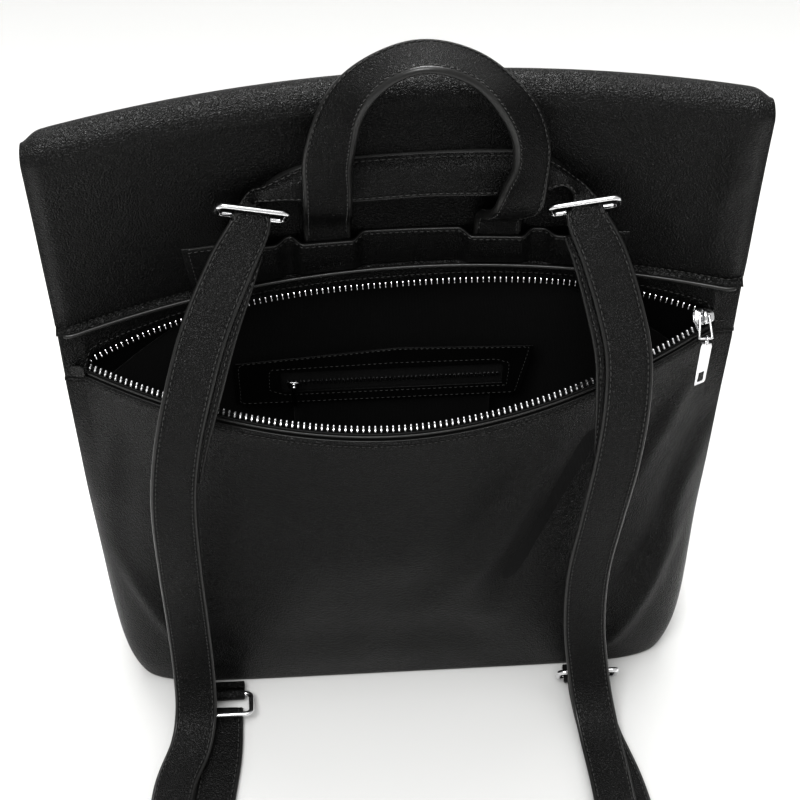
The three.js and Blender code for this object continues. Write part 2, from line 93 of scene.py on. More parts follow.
view_data = bpy.data.cameras.new("view")
view_data.lens = LENS_MM
view_data.sensor_width = 36.0
view_data.clip_start = 0.05
camera = bpy.data.objects.new("view", view_data)
placed = np.eye(4)
placed[:3, :3] = np.array(camera_axes(TURN, LOOK_DOWN, ROLL)).T
placed[:3, 3] = CAMERA_AT * MM
camera.matrix_world = Matrix(placed.tolist())
bpy.context.scene.collection.objects.link(camera)
bpy.context.scene.camera = camera

# %% [markdown]
# ## Mesh helpers
# A sheet of leather is two grids of points, its outer and its inner face, joined round the rim.
# A strap is one outline carried along a path. Both are the same idea: points on a grid of rows and
# columns, and faces that join each point to its neighbours, with the index arithmetic done once
# for the whole array.

# %% Grid faces


def grid_faces(rows, columns, close_rows=False, close_columns=False, start=0):
    """Quads of a grid whose point (r, c) has index start + r * columns + c."""
    r = np.arange(rows if close_rows else rows - 1)
    c = np.arange(columns if close_columns else columns - 1)
    r, c = [a.ravel() for a in np.meshgrid(r, c, indexing="ij")]
    r2, c2 = (r + 1) % rows, (c + 1) % columns
    quad = np.stack([r * columns + c, r * columns + c2, r2 * columns + c2, r2 * columns + c], 1)
    return quad + start


def signed_volume(points, quads):
    """Sum of the tetrahedra from the origin to each face, times six."""
    a, b, c, d = (points[quads[:, i]] for i in range(4))
    return float(np.sum(a * np.cross(b, c)) + np.sum(a * np.cross(c, d)))


def new_mesh(name, points, quads, smooth=True, materials=(), face_material=None):
    """Mesh object at the origin from points in millimetres; faces are turned to point outwards."""
    quads = np.asarray(quads)
    if signed_volume(points, quads) < 0:
        quads = quads[:, ::-1]
    mesh = bpy.data.meshes.new(name)
    mesh.vertices.add(len(points))
    mesh.vertices.foreach_set("co", (np.asarray(points) * MM).astype(np.float32).ravel())
    mesh.loops.add(quads.size)
    mesh.loops.foreach_set("vertex_index", quads.astype(np.int32).ravel())
    mesh.polygons.add(len(quads))
    mesh.polygons.foreach_set("loop_start", np.arange(0, quads.size, 4, dtype=np.int32))
    mesh.polygons.foreach_set("use_smooth", np.full(len(quads), smooth))
    for material in materials:
        mesh.materials.append(material)
    if face_material is not None:
        mesh.polygons.foreach_set("material_index", np.asarray(face_material, dtype=np.int32))
    mesh.update(calc_edges=True)
    mesh.validate()
    piece = bpy.data.objects.new(name, mesh)
    bpy.context.scene.collection.objects.link(piece)
    return piece


def sheet(name, outer, inner, materials):
    """Closed shell from two (rows, columns, 3) grids, with a rim of quads between their edges."""
    rows, columns = outer.shape[:2]
    count = rows * columns
    points = np.concatenate([outer.reshape(-1, 3), inner.reshape(-1, 3)])
    front = grid_faces(rows, columns)
    back = grid_faces(rows, columns, start=count)[:, ::-1]
    index = np.arange(count).reshape(rows, columns)
    rim = np.concatenate([index[0, :-1], index[:-1, -1], index[-1, :0:-1], index[:0:-1, 0]])
    after = np.roll(rim, -1)
    edge = np.stack([after, rim, rim + count, after + count], 1)
    quads = np.concatenate([front, back, edge])
    which = np.concatenate([np.zeros(len(front)), np.full(len(back), min(1, len(materials) - 1)),
                            np.full(len(edge), len(materials) - 1)])
    return new_mesh(name, points, quads, True, materials, which)


def ease(t):
    """Smooth step: 3 t^2 - 2 t^3, held at 0 and 1 outside its range."""
    t = np.clip(t, 0.0, 1.0)
    return t * t * (3 - 2 * t)


def lerp(a, b, t):
    """a + (b - a) t."""
    return a + (b - a) * t


print("helpers ready")

# %% [markdown]
# ## Paths
# Straps, piping and stitches all follow a curve. A Catmull-Rom curve passes through each stop, so
# the stops can be read off the bag, and its width direction is blended between stops as well.

# %% Paths and frames


def spline(stops, count):
    """Catmull-Rom curve through the stops: each span is a cubic whose slopes are half the chord
    between the neighbouring stops. Returns count points, evenly spaced along the length."""
    stops = np.asarray(stops, float)
    padded = np.concatenate([[2 * stops[0] - stops[1]], stops, [2 * stops[-1] - stops[-2]]])
    t = np.linspace(0, len(stops) - 1 - 1e-9, 40 * len(stops))
    i = t.astype(int)
    f = (t - i)[:, None]
    p0, p1, p2, p3 = padded[i], padded[i + 1], padded[i + 2], padded[i + 3]
    line = 0.5 * (2 * p1 + (p2 - p0) * f + (2 * p0 - 5 * p1 + 4 * p2 - p3) * f ** 2
                  + (3 * p1 - p0 - 3 * p2 + p3) * f ** 3)
    return even(line, count)


def even(line, count):
    """The same line with count points at equal steps of its first three columns' length."""
    step = np.linalg.norm(np.diff(line[:, :3], axis=0), axis=1)
    along = np.concatenate([[0], np.cumsum(step)])
    want = np.linspace(0, along[-1], count)
    return np.stack([np.interp(want, along, line[:, k]) for k in range(line.shape[1])], 1)


def path_length(line):
    """Sum of the steps along a line."""
    return np.linalg.norm(np.diff(line[:, :3], axis=0), axis=1).sum()


def unit(v):
    """Vectors divided by their length, along the last axis."""
    return v / np.maximum(np.linalg.norm(v, axis=-1, keepdims=True), 1e-9)


def path_frame(line):
    """Tangent, width direction and normal of a strap path whose columns are x y z sx sy sz."""
    tangent = unit(np.gradient(line[:, :3], axis=0))
    side = line[:, 3:6]
    side = unit(side - tangent * np.sum(side * tangent, axis=1, keepdims=True))
    return tangent, side, np.cross(side, tangent)


STITCH_IN, GROOVE, CROWN = 2.6, 0.35, 0.25


def strap_section(width, thick):
    """Outline of a stitched strap, counted round from its left edge: a face that is crowned, and
    pressed in under each stitch row by a groove, with half-round edges."""
    half, round_ = width / 2, thick / 2
    a = np.linspace(-half + round_, half - round_, 25)
    hollow = np.exp(-((np.abs(a) - (half - STITCH_IN)) / 0.6) ** 2) * GROOVE
    face = round_ + CROWN * (1 - (a / half) ** 2) - hollow
    bend = np.radians([60, 30, 0, -30, -60])
    right = np.stack([half - round_ + round_ * np.cos(bend), round_ * np.sin(bend)], 1)
    top = np.stack([a, face], 1)
    low = np.stack([a[::-1], -face[::-1]], 1)
    left = -right
    return np.concatenate([top, right, low, left])


STRAP_SECTION_EDGE = np.concatenate([np.zeros(24), np.ones(6), np.zeros(24), np.ones(6)])

# %% [markdown]
# ## Stitches
# A saddle stitch is a short thread that dips into the leather at both ends. One stitch is a bent
# capsule with a few dozen faces, and a row repeats it along a line by placing every copy at once.

# %% Stitches and repeated small shapes


def capsule(length, radius, sides=6, rings=5):
    """Thread along X: radius falls to a third at the ends and the middle stands highest."""
    t = np.linspace(-1, 1, rings)
    x = t * length / 2
    r = radius * np.sqrt(np.maximum(1 - np.abs(t) ** 3, 0.08))
    lift = radius * 0.9 * (1 - t ** 2) - radius * 0.5
    turn = np.linspace(0, 2 * np.pi, sides, endpoint=False)
    points = np.stack([np.repeat(x[:, None], sides, 1), r[:, None] * np.cos(turn),
                       lift[:, None] + r[:, None] * np.sin(turn)], 2)
    quads = grid_faces(rings, sides, close_columns=True)
    cap = np.array([[0, 1, 4, 5], [1, 2, 3, 4]])
    return points.reshape(-1, 3), np.concatenate([quads, cap[:, ::-1], cap + (rings - 1) * sides])


def copies(name, shape, places, axes, material, smooth=True):
    """Every copy of shape at once: points (n, 3) and matrices (n, 3, 3) whose columns are axes."""
    points, quads = shape
    if signed_volume(points, quads) < 0:
        quads = quads[:, ::-1]
    placed = np.einsum("nij,pj->npi", axes, points) + places[:, None]
    faces = (quads[None] + (np.arange(len(places)) * len(points))[:, None, None]).reshape(-1, 4)
    return new_mesh(name, placed.reshape(-1, 3), faces, smooth, [material])


def stitch_row(name, line, normals, material, pitch=3.4, length=2.5, radius=0.34):
    """Stitches laid along a line of points, flat against the surface that the normals stand on."""
    step = np.linalg.norm(np.diff(line, axis=0), axis=1)
    along = np.concatenate([[0], np.cumsum(step)])
    want = np.arange(pitch / 2, along[-1], pitch)
    at = np.stack([np.interp(want, along, line[:, k]) for k in range(3)], 1)
    up = unit(np.stack([np.interp(want, along, normals[:, k]) for k in range(3)], 1))
    gradient = np.gradient(line, along, axis=0)
    run = unit(np.stack([np.interp(want, along, gradient[:, k]) for k in range(3)], 1))
    run = unit(run - up * np.sum(run * up, axis=1, keepdims=True))
    axes = np.stack([run, np.cross(up, run), up], 2)
    return copies(name, capsule(length, radius), at, axes, material)


def surface_normals(grid):
    """Unit normals of a grid of points, from its two directions of slope."""
    return unit(np.cross(np.gradient(grid, axis=0), np.gradient(grid, axis=1)))


print("stitch has", len(capsule(2.5, 0.34)[1]), "faces")

# %% [markdown]
# ## Finishes
# Every finish is procedural. Pebbled leather is made of rounded cells with narrow valleys between
# them, so a Voronoi texture's distance to the cell edge, bent by a little noise, gives the height.
# The same height darkens the valleys, and a slow noise varies the gloss the way handling does.

# %% Node helpers


def new_material(name, **sockets):
    """Material with a Principled shader whose named sockets are set."""
    material = bpy.data.materials.new(name)
    material.use_nodes = True
    shader = material.node_tree.nodes["Principled BSDF"]
    for socket, value in sockets.items():
        shader.inputs[socket.replace("_", " ")].default_value = value
    return material


def node(material, kind, links=(), **settings):
    """Adds a node; settings are its properties, links are (input name or index, output socket)
    pairs or plain values."""
    made = material.node_tree.nodes.new(kind)
    for key, value in settings.items():
        setattr(made, key, value)
    for where, what in links:
        if isinstance(what, bpy.types.NodeSocket):
            material.node_tree.links.new(what, made.inputs[where])
        else:
            made.inputs[where].default_value = what
    return made


def math_node(material, operation, a, b=0.0):
    """One arithmetic node and its output."""
    return node(material, "ShaderNodeMath", [(0, a), (1, b)], operation=operation).outputs[0]


def span(material, value, low, high, to_low, to_high):
    """Value from low..high carried smoothly to to_low..to_high."""
    links = [("Value", value), ("From Min", low), ("From Max", high),
             ("To Min", to_low), ("To Max", to_high)]
    return node(material, "ShaderNodeMapRange", links, interpolation_type="SMOOTHSTEP").outputs[0]


def mixed(material, factor, first, second):
    """Colour between two colours by a factor."""
    return node(material, "ShaderNodeMix", [(0, factor), (6, first), (7, second)],
                data_type="RGBA").outputs[2]


def object_place(material):
    """Position in the piece's own space, which is the bag's."""
    return node(material, "ShaderNodeTexCoord").outputs["Object"]


def noise(material, place, scale, detail=2.0, roughness=0.5):
    """Noise value at a place, cells per metre."""
    return node(material, "ShaderNodeTexNoise", [("Vector", place), ("Scale", scale),
                ("Detail", detail), ("Roughness", roughness)]).outputs["Fac"]


def feed(material, socket, value):
    """Wires a value or colour into a socket of the material's shader."""
    shader = material.node_tree.nodes["Principled BSDF"]
    material.node_tree.links.new(value, shader.inputs[socket])


def raised(material, height, strength, distance):
    """Wires a height, distance metres from lowest to highest, into the shader as a bump."""
    bump = node(material, "ShaderNodeBump", [("Height", height), ("Strength", strength),
                                             ("Distance", distance)])
    feed(material, "Normal", bump.outputs[0])


# %% Leather


def leather(name, top, valley, cell_mm, depth, rough):
    """Pebbled hide: height is how far a point is from its cell's edge, with cells of two sizes."""
    material = new_material(name, Specular_IOR_Level=0.36)
    place = object_place(material)
    bend = node(material, "ShaderNodeTexNoise", [("Vector", place), ("Scale", 900 / cell_mm)])
    shift = node(material, "ShaderNodeVectorMath", [(0, bend.outputs["Color"]), (1, (0.5,) * 3)],
                 operation="SUBTRACT").outputs[0]
    shift = node(material, "ShaderNodeVectorMath", [(0, shift), ("Scale", cell_mm * 0.0009)],
                 operation="SCALE").outputs[0]
    bent = node(material, "ShaderNodeVectorMath", [(0, place), (1, shift)],
                operation="ADD").outputs[0]

    def cells(scale, valley_width):
        edge = node(material, "ShaderNodeTexVoronoi", [("Vector", bent), ("Scale", scale)],
                    feature="DISTANCE_TO_EDGE").outputs["Distance"]
        return span(material, edge, 0.0, valley_width, 0.0, 1.0)

    small = cells(1000 / cell_mm, 0.36)
    large = cells(1000 / (cell_mm * 1.9), 0.2)
    pores = noise(material, place, 5200 / cell_mm, 1.0)
    slow = noise(material, place, 22.0, 3.0)
    height = math_node(material, "MULTIPLY_ADD", small, 0.58)
    material.node_tree.links.new(math_node(material, "MULTIPLY", large, 0.3), height.node.inputs[2])
    height = math_node(material, "ADD", height, math_node(material, "MULTIPLY", pores, 0.14))
    tone = span(material, height, 0.15, 0.95, 0.0, 1.0)
    colour = mixed(material, tone, (*valley, 1), (*top, 1))
    feed(material, "Base Color", colour)
    gloss = span(material, slow, 0.3, 0.7, rough - 0.05, rough + 0.07)
    polish = math_node(material, "MULTIPLY", tone, 0.05)
    feed(material, "Roughness", math_node(material, "SUBTRACT", gloss, polish))
    raised(material, height, depth, cell_mm * MM * 0.36)
    return material


VALLEY = (0.0025, 0.0025, 0.0025)
shell_leather = leather("pebbled_leather", (0.0095, 0.0096, 0.0091), VALLEY, 1.35, 1.0, 0.36)
strap_leather = leather("strap_leather", (0.0105, 0.0105, 0.0101), VALLEY, 1.1, 1.0, 0.35)
inner_leather = leather("flap_lining_leather", (0.006, 0.006, 0.0058), (0.003, 0.003, 0.003),
                        1.0, 0.4, 0.6)
print("leathers:", len(bpy.data.materials))

# %% [markdown]
# Cut edges of leather straps are painted and burnished, so they are smoother and shinier than the
# face, and edges are coloured lighter than the face, partly as a painted highlight; thread is
# waxed, and its grey colour is a painted highlight; lining and zip tape are woven.

# %% Edge paint, thread, cloth, metal


def painted_highlight_edge(name, rough):
    """Burnished edge: nearly smooth, with a slow ripple from the brush. Its base colour is lighter
    than the leather face: partly edge coat, partly a painted highlight.
    """
    # Base colour 0.017, nearly twice the leather face's: the extra lightness is a painted highlight
    # along the edges.
    material = new_material(name, Base_Color=(0.017, 0.017, 0.0165, 1), Coat_Weight=0.15,
                            Coat_Roughness=0.2)
    brushed = noise(material, object_place(material), 700.0, 3.0)
    feed(material, "Roughness", span(material, brushed, 0.3, 0.7, rough, rough + 0.14))
    raised(material, brushed, 0.25, 0.0002)
    return material


def woven(name, colour, pitch_mm, depth, rough, sheen=0.3, slant=0.0):
    """Cloth: two crossed sets of threads, each a sine across its pitch, the higher one on top."""
    material = new_material(name, Sheen_Weight=sheen, Sheen_Roughness=0.5, Specular_IOR_Level=0.25)
    parts = node(material, "ShaderNodeSeparateXYZ", [(0, object_place(material))])
    x, y, z = parts.outputs
    rise = math_node(material, "ADD", z, math_node(material, "MULTIPLY", y, 0.7))
    run = math_node(material, "ADD", x, math_node(material, "MULTIPLY", rise, slant))
    waves = 2 * math.pi / (pitch_mm * MM)
    warp = math_node(material, "SINE", math_node(material, "MULTIPLY", run, waves))
    weft = math_node(material, "SINE", math_node(material, "MULTIPLY", rise, waves))
    height = span(material, math_node(material, "MAXIMUM", warp, weft), -0.5, 1.0, 0.0, 1.0)
    fuzz = noise(material, object_place(material), 260.0, 4.0)
    tone = math_node(material, "MULTIPLY", height, fuzz)
    dark = tuple(c * 0.45 for c in colour)
    feed(material, "Base Color", mixed(material, tone, (*dark, 1), (*colour, 1)))
    feed(material, "Roughness", span(material, fuzz, 0.2, 0.8, rough, min(rough + 0.1, 1)))
    raised(material, height, depth, pitch_mm * MM * 0.3)
    return material


def plated(name, colour, rough):
    """Polished nickel plate: mirror-like with faint handling marks that widen the highlight."""
    material = new_material(name, Base_Color=(*colour, 1), Metallic=1.0)
    marks = noise(material, object_place(material), 900.0, 5.0, 0.7)
    feed(material, "Roughness", span(material, marks, 0.3, 0.75, rough, rough + 0.16))
    raised(material, marks, 0.08, 0.0001)
    return material


# Cut rims and strap edges: an edge coat whose lighter colour is partly a painted highlight.
edge_coat_with_painted_highlight = painted_highlight_edge("edge_coat_with_painted_highlight", 0.3)
# The thread is coloured grey instead of black: a painted highlight, so the stitches read as light
# dotted lines.
thread = woven("thread_grey_painted_highlight", (0.11, 0.11, 0.108), 0.5, 0.5, 0.45, 0.0, 1.2)
lining_cloth = woven("lining_cloth", (0.006, 0.006, 0.006), 0.8, 0.5, 0.8, 0.08)
zip_cloth = woven("zip_tape_cloth", (0.006, 0.006, 0.006), 0.7, 0.6, 0.75, 0.1, 0.8)
nickel = plated("polished_nickel", (0.80, 0.80, 0.81), 0.12)
teeth_metal = plated("tooth_nickel", (0.78, 0.78, 0.79), 0.2)
board_grey = woven("stiffener_board", (0.19, 0.18, 0.165), 1.5, 0.2, 0.8, 0.0)
print("finishes:", len(bpy.data.materials))

# %% [markdown]
# ## Room
# A seamless pale floor, a bright even sky and three soft lamps: one overhead, one in front, and a
# narrow one behind that draws a highlight along the roll and the handle. Black leather shows its
# shape by what it reflects, so the floor's brightness matters as much as the lamps.

# %% Floor and light


def soft_light(name, at, towards, size, power):
    """Area lamp at a point, aimed at another, both in metres."""
    lamp = bpy.data.lights.new(name, "AREA")
    lamp.shape = "RECTANGLE"
    lamp.size, lamp.size_y = size
    lamp.energy = power
    held = bpy.data.objects.new(name, lamp)
    back = unit(np.array(at, float) - np.array(towards, float))
    right = unit(np.cross([0.0, 0.0, 1.0], back))
    pose = np.eye(4)
    pose[:3, :3] = np.stack([right, np.cross(back, right), back], 1)
    pose[:3, 3] = at
    held.matrix_world = Matrix(pose.tolist())
    bpy.context.scene.collection.objects.link(held)
    return held


FLOOR_HALF = 9000.0
floor_paint = new_material("pale_floor", Base_Color=(0.64, 0.64, 0.634, 1), Roughness=0.9,
                           Specular_IOR_Level=0.1)
side_mm = np.linspace(-FLOOR_HALF, FLOOR_HALF, 3)
floor_x, floor_y = np.meshgrid(side_mm, side_mm, indexing="ij")
floor_points = np.stack([floor_x, floor_y, np.full_like(floor_x, -0.2)], 2).reshape(-1, 3)
floor = new_mesh("floor", floor_points, grid_faces(3, 3), False, [floor_paint])

world = bpy.data.worlds.new("studio")
world.use_nodes = True
sky = world.node_tree.nodes["Background"]
sky.inputs[0].default_value = (1.0, 1.0, 0.995, 1)
sky.inputs[1].default_value = 0.49
bpy.context.scene.world = world
soft_light("overhead", (0.0, 0.1, 2.4), (0.0, 0.0, 0.1), (2.2, 2.2), 18)
rim_lamp = soft_light("rim", (0.0, 0.9, 1.5), (0.0, 0.0, 0.37), (1.8, 0.3), 4.0)
rim_lamp.data.spread = np.radians(60)
soft_light("front_fill", (-0.4, -1.1, 2.1), (0.0, -0.4, 0.0), (1.4, 0.7), 28)
bpy.context.scene.view_settings.view_transform = "Standard"
bpy.context.scene.view_settings.look = "High Contrast"
print("lamps:", len(bpy.data.lights))

# %% [markdown]
# ## Shape of the bag
# One wall function gives the whole shell. Its section is a rounded box at the floor and, higher
# up, a lens that meets at the two side seams, because the base is boxed and the mouth is flat.

# %% Wall and its creases
HALF, ROLL_R, ZIP_HALF = 176.0, 11.0, 166.0


def half_width_at(z):
    """176 mm, pulled in by 19 exp(-z / 45) towards the floor."""
    return HALF - 19 * np.exp(-z / 45)


def side_y(z):
    """How far the side seams lie towards the front."""
    return 8 * ease(z / 240)


def back_depth(z):
    """Bulge of the back panel, a half sine over its height."""
    return 46 + 5 * z / 230 + 8 * np.sin(np.pi * np.clip(z / 230, 0, 1))


def front_depth(z):
    """Bulge of the front panel, which flattens under the flap."""
    return 46 + 9 * np.sin(np.pi * np.clip(z / 300, 0, 1)) - 18 * ease((z - 200) / 185)


def wall(turn, z, inset):
    """Signed power of cosine and sine: a power of 0.28 is nearly a box and 1 and 2 give a lens."""
    lens = ease(z / 170)
    c, s = np.cos(turn), np.sin(turn)
    depth = np.where(s >= 0, front_depth(z), back_depth(z)) - inset
    x = (half_width_at(z) - 1.5 * inset) * np.sign(c) * np.abs(c) ** lerp(0.28, 1.0, lens)
    y = side_y(z) + depth * np.sign(s) * np.abs(s) ** lerp(0.28, 2.0, lens)
    return np.stack([x, y, z + 0 * x], -1)


def crease(x, z, start, end, width, height):
    """Soft ridge along a segment: a bell across it that fades out at both ends."""
    a, b = np.array(start, float), np.array(end, float)
    along = b - a
    length = np.linalg.norm(along)
    t = ((x - a[0]) * along[0] + (z - a[1]) * along[1]) / length ** 2
    off = ((x - a[0]) * along[1] - (z - a[1]) * along[0]) / length
    fade = ease((t + 0.15) / 0.35) * ease((1.15 - t) / 0.35)
    return height * np.exp(-(off / width) ** 2) * fade


def ripple(x, z, seed, size, height):
    """Gentle unevenness: five sine waves of random direction about size millimetres long."""
    made = np.random.default_rng(seed)
    total = 0 * x
    for _ in range(5):
        angle, phase = made.uniform(0, np.pi), made.uniform(0, 6.3)
        length = made.uniform(0.7, 1.5) * size
        along = x * np.cos(angle) + z * np.sin(angle)
        total = total + np.sin(along * 2 * np.pi / length + phase)
    return total * height / 5


def far_lip(x):
    """Far edge of the mouth: flat in the middle and dropping to the ends as the power 2.6."""
    u = np.abs(x / ZIP_HALF) ** 2.6
    return np.stack([x, 36.5 - 29 * u, 251 - 12 * u + 0.048 * x], -1)


def near_lip(x):
    """Near edge of the mouth, which sags forward and down in the middle as the power 1.9."""
    u = np.abs(x / ZIP_HALF) ** 1.9
    return np.stack([x, -42.6 + 51 * u, 228 + 11 * u + 0.048 * x], -1)


def near_edge(x):
    """Height of the near lip, held past its ends."""
    return near_lip(np.clip(x, -ZIP_HALF, ZIP_HALF))[..., 2]


# Each fold is its start and end in X and Z, its width, and its height, negative for a trough.
BACK_FOLDS = [
    ((84, 200), (30, 96), 11, 3.2), ((160, 212), (116, 128), 8, 3.4),
    ((108, 206), (50, 84), 11, -4.6), ((62, 180), (6, 84), 13, -2.6),
    ((146, 200), (104, 108), 9, -4.0), ((168, 176), (140, 84), 8, -3.4),
    ((166, 140), (138, 62), 7, 2.4), ((-146, 196), (-158, 96), 8, -2.4),
    ((-60, 60), (50, 44), 16, -1.6), ((-90, 130), (10, 118), 20, 1.4),
    ((-158, 92), (-108, 18), 6, 3.0), ((-140, 92), (-96, 34), 8, -1.6),
    ((160, 100), (118, 22), 6, 3.0), ((140, 96), (102, 40), 8, -1.6)]
FRONT_FOLDS = [((-156, 90), (-108, 20), 7, 2.4), ((156, 90), (108, 20), 7, 2.4)]


def back_folds(x, z):
    """Drag folds that run down to the left on the right half, and the boxed corners' creases."""
    return sum(crease(x, z, *fold) for fold in BACK_FOLDS) + ripple(x, z, 3, 95, 1.1)


def front_folds(x, z):
    """The boxed corners' creases alone."""
    return sum(crease(x, z, *fold) for fold in FRONT_FOLDS) + ripple(x, z, 9, 110, 1.0)


def wall_grid(front, low, top, inset, columns, rows, folds=None):
    """Grid of the front or back wall from its low edge to a top edge that depends on x."""
    u, v = np.meshgrid(np.linspace(0, 1, columns), np.linspace(0, 1, rows), indexing="ij")
    v = v if front else 1 - (1 - v) ** 1.5
    turn = (np.pi if front else 2 * np.pi) - u * np.pi
    edge = wall(turn, np.full_like(u, 224.0), inset)[..., 0]
    grid = wall(turn, lerp(low, top(edge), v), inset)
    grid[..., 1] += 0.4 if front else -0.4
    if not front:
        rim = near_lip(np.clip(grid[..., 0], -ZIP_HALF, ZIP_HALF))[..., 1] - 2.6 + inset
        below = near_edge(grid[..., 0]) - grid[..., 2]
        grid[..., 1] = lerp(grid[..., 1], rim, ease((105 - below) / 95))
        edge_roll = 1.3 * np.exp(-((below - 8.4) / 1.2) ** 2)
        seam_channel = 0.6 * np.exp(-((below - 11.2) / 0.9) ** 2)
        grid[..., 1] -= edge_roll - seam_channel
    if folds is not None:
        fade = ease(np.minimum(u, 1 - u) / 0.08) * ease(v / 0.1) * ease((1 - v) / 0.06)
        sign = 1 if front else -1
        grid[..., 1] += sign * folds(grid[..., 0], grid[..., 2]) * fade
    return grid


def place(piece, body, slot, *stands_for):
    """Puts a finished piece on its body and hides the nodes it replaces; slot is not used."""
    if body:
        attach(piece, body)
    if stands_for:
        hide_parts(*stands_for)
    return piece


print("wall at the floor:", wall(np.array(0.4), np.array(5.0), 0.0).round(1))

# %% [markdown]
# The lower back panel is one piece from the floor to the zip facing. Its top edge turns inwards a
# little where the facing is sewn over it, and the lining hangs inside it.

# %% Lower back panel, front panel and linings


def back_top(x):
    return near_edge(x) - 6.8


panel = wall_grid(False, 2.2, back_top, 0.0, 300, 150, back_folds)
inside = wall_grid(False, 2.6, back_top, 1.8, 300, 150, back_folds)
place(sheet("back_lower_skin", panel, inside, [shell_leather, inner_leather, edge_coat_with_painted_highlight]), "bag",
      "leather", "back_lower_panel")


def front_top(x):
    return np.full_like(x, 372.0)


place(sheet("front_skin", wall_grid(True, 2.2, front_top, 0.0, 200, 150, front_folds),
            wall_grid(True, 2.6, front_top, 1.8, 200, 150, front_folds),
            [shell_leather, inner_leather]), "bag", "leather", "front_panel")


def back_lining_top(x):
    return near_edge(x) - 15


def front_lining_top(x):
    return 257 - 60 * (x / HALF) ** 2


for front, top, inset, columns, rows in ((False, back_lining_top, 3.7, 120, 60),
                                         (True, front_lining_top, 3.9, 160, 100)):
    side_name = "front" if front else "back"
    faces = [wall_grid(front, 6.2, top, depth, columns, rows) for depth in (inset, inset + 1.0)]
    place(sheet(f"lining_{side_name}_cloth", *faces, [lining_cloth]), "bag", "lining_cloth",
          f"lining_{side_name}")
print("panel points:", panel.shape)

# %% [markdown]
# The base is a flat boxed sheet whose rim curls up to meet the walls, with the stiffener board and
# the lining lying on it.

# %% Base


def base_sheet(name, low, high, inset, curl, materials):
    """Rounded rectangle from the centre outwards: rings of the wall's own outline, scaled."""
    turn = np.linspace(0, 2 * np.pi, 161)
    ring = np.linspace(0.02, 1, 24)[:, None]
    rim = wall(turn, np.full_like(turn, 2.0), inset)
    x, y = rim[:, 0] * ring, rim[:, 1] * ring
    lift = curl * ease((ring - 0.93) / 0.07) + 0 * x
    top = np.stack([x, y, high + lift], 2)
    under = np.stack([x, y, low + lift], 2)
    return sheet(name, top, under, materials)


place(base_sheet("base_skin", 0.0, 2.2, 0.4, 0.6, [inner_leather, shell_leather]), "bag", "leather",
      "bottom_panel")
place(base_sheet("base_lining_cloth", 6.3, 7.3, 6.8, 0.3, [lining_cloth]), "bag", "lining_cloth",
      "lining_bottom")
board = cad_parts["base_board"].data
board.materials.clear()
board.materials.append(board_grey)
print("base laid over", round(wall(np.array(0.0), np.array(2.0), 0.4)[0] * 2), "mm")

# %% [markdown]
# ## Upper back and the padded roll
# The upper panel leans back from the zip seam, then turns over a padded roll 22 mm thick. Its
# lower edge is turned under, so the edge stands proud of the facing by the leather's thickness.

# %% Upper back panel


def upper_back(x, z):
    """Back face: 37 mm forward of the centre at the seam, curving away to both sides."""
    rise = (z - 265) / 120
    return 37 - 18 * rise - (33.5 - 12.5 * rise) * (x / HALF) ** 2


def seam_z(x):
    """Height of the upper panel's lower edge."""
    return 265 + 0.045 * x - 2 * (x / HALF) ** 2


def roll_y(x):
    """Depth of the roll's centre line."""
    return 30 - 19 * (x / HALF) ** 2 + 0.02 * x


def roll_z(x):
    """Height of the roll's centre line, which drops to both ends."""
    return 387.5 - 8.5 * (x / HALF) ** 2 + 0.01 * x


def roll_point(x, turn, radius):
    """Point of the padded roll at an angle from its front."""
    return np.stack([x, roll_y(x) + radius * np.cos(turn), roll_z(x) + radius * np.sin(turn)], -1)


def upper_face(x, z):
    """Panel face as it stands, its lean to meet the roll included."""
    share = np.clip((z - seam_z(x)) / (roll_z(x) - seam_z(x)), 0, 1)
    reach = roll_y(x) - ROLL_R - upper_back(x, roll_z(x))
    return upper_back(x, z) + reach * share


def end_pinch(x):
    """How far the padding thins towards the two side seams: 4 mm at the very end."""
    return 4.0 * np.exp(-((1 - np.abs(x) / HALF) / 0.028) ** 2)


FLAT_SHARE, WELT_UP, STITCH_UP = 0.62, 1.5, 4.8


def upper_grid(inset, columns, rows, last_turn):
    """Straight part, then the roll; the two meet where the roll's tangent is upright."""
    x = np.linspace(-HALF, HALF, columns)[:, None]
    v = np.linspace(0, 1, rows)[None, :]
    v = np.where(v < FLAT_SHARE, FLAT_SHARE * (v / FLAT_SHARE) ** 1.7, v)
    z = lerp(seam_z(x), roll_z(x), np.minimum(v / FLAT_SHARE, 1))
    up = z - seam_z(x)
    welt = 3.2 * np.exp(-((up - WELT_UP) / 1.3) ** 2) - np.exp(-((up - STITCH_UP) / 0.9) ** 2)
    swell = (ripple(x, z, 5, 120, 0.9) - crease(x, z, (163, 384), (158, 292), 7, 1.6)
             - crease(x, z, (130, 300), (168, 350), 9, 1.2))
    swell = swell * ease(v / 0.1) * ease((1 - v) / 0.3)
    pinch = end_pinch(x)
    flat = np.stack([x + 0 * z, upper_face(x, z) + inset + swell + pinch - welt, z], -1)
    turn = lerp(np.pi, last_turn, np.clip((v - FLAT_SHARE) / (1 - FLAT_SHARE), 0, 1))
    rolled = roll_point(x + 0 * turn, turn, ROLL_R - inset - pinch - 0.5 * swell)
    return np.where((v <= FLAT_SHARE)[..., None], flat, rolled)


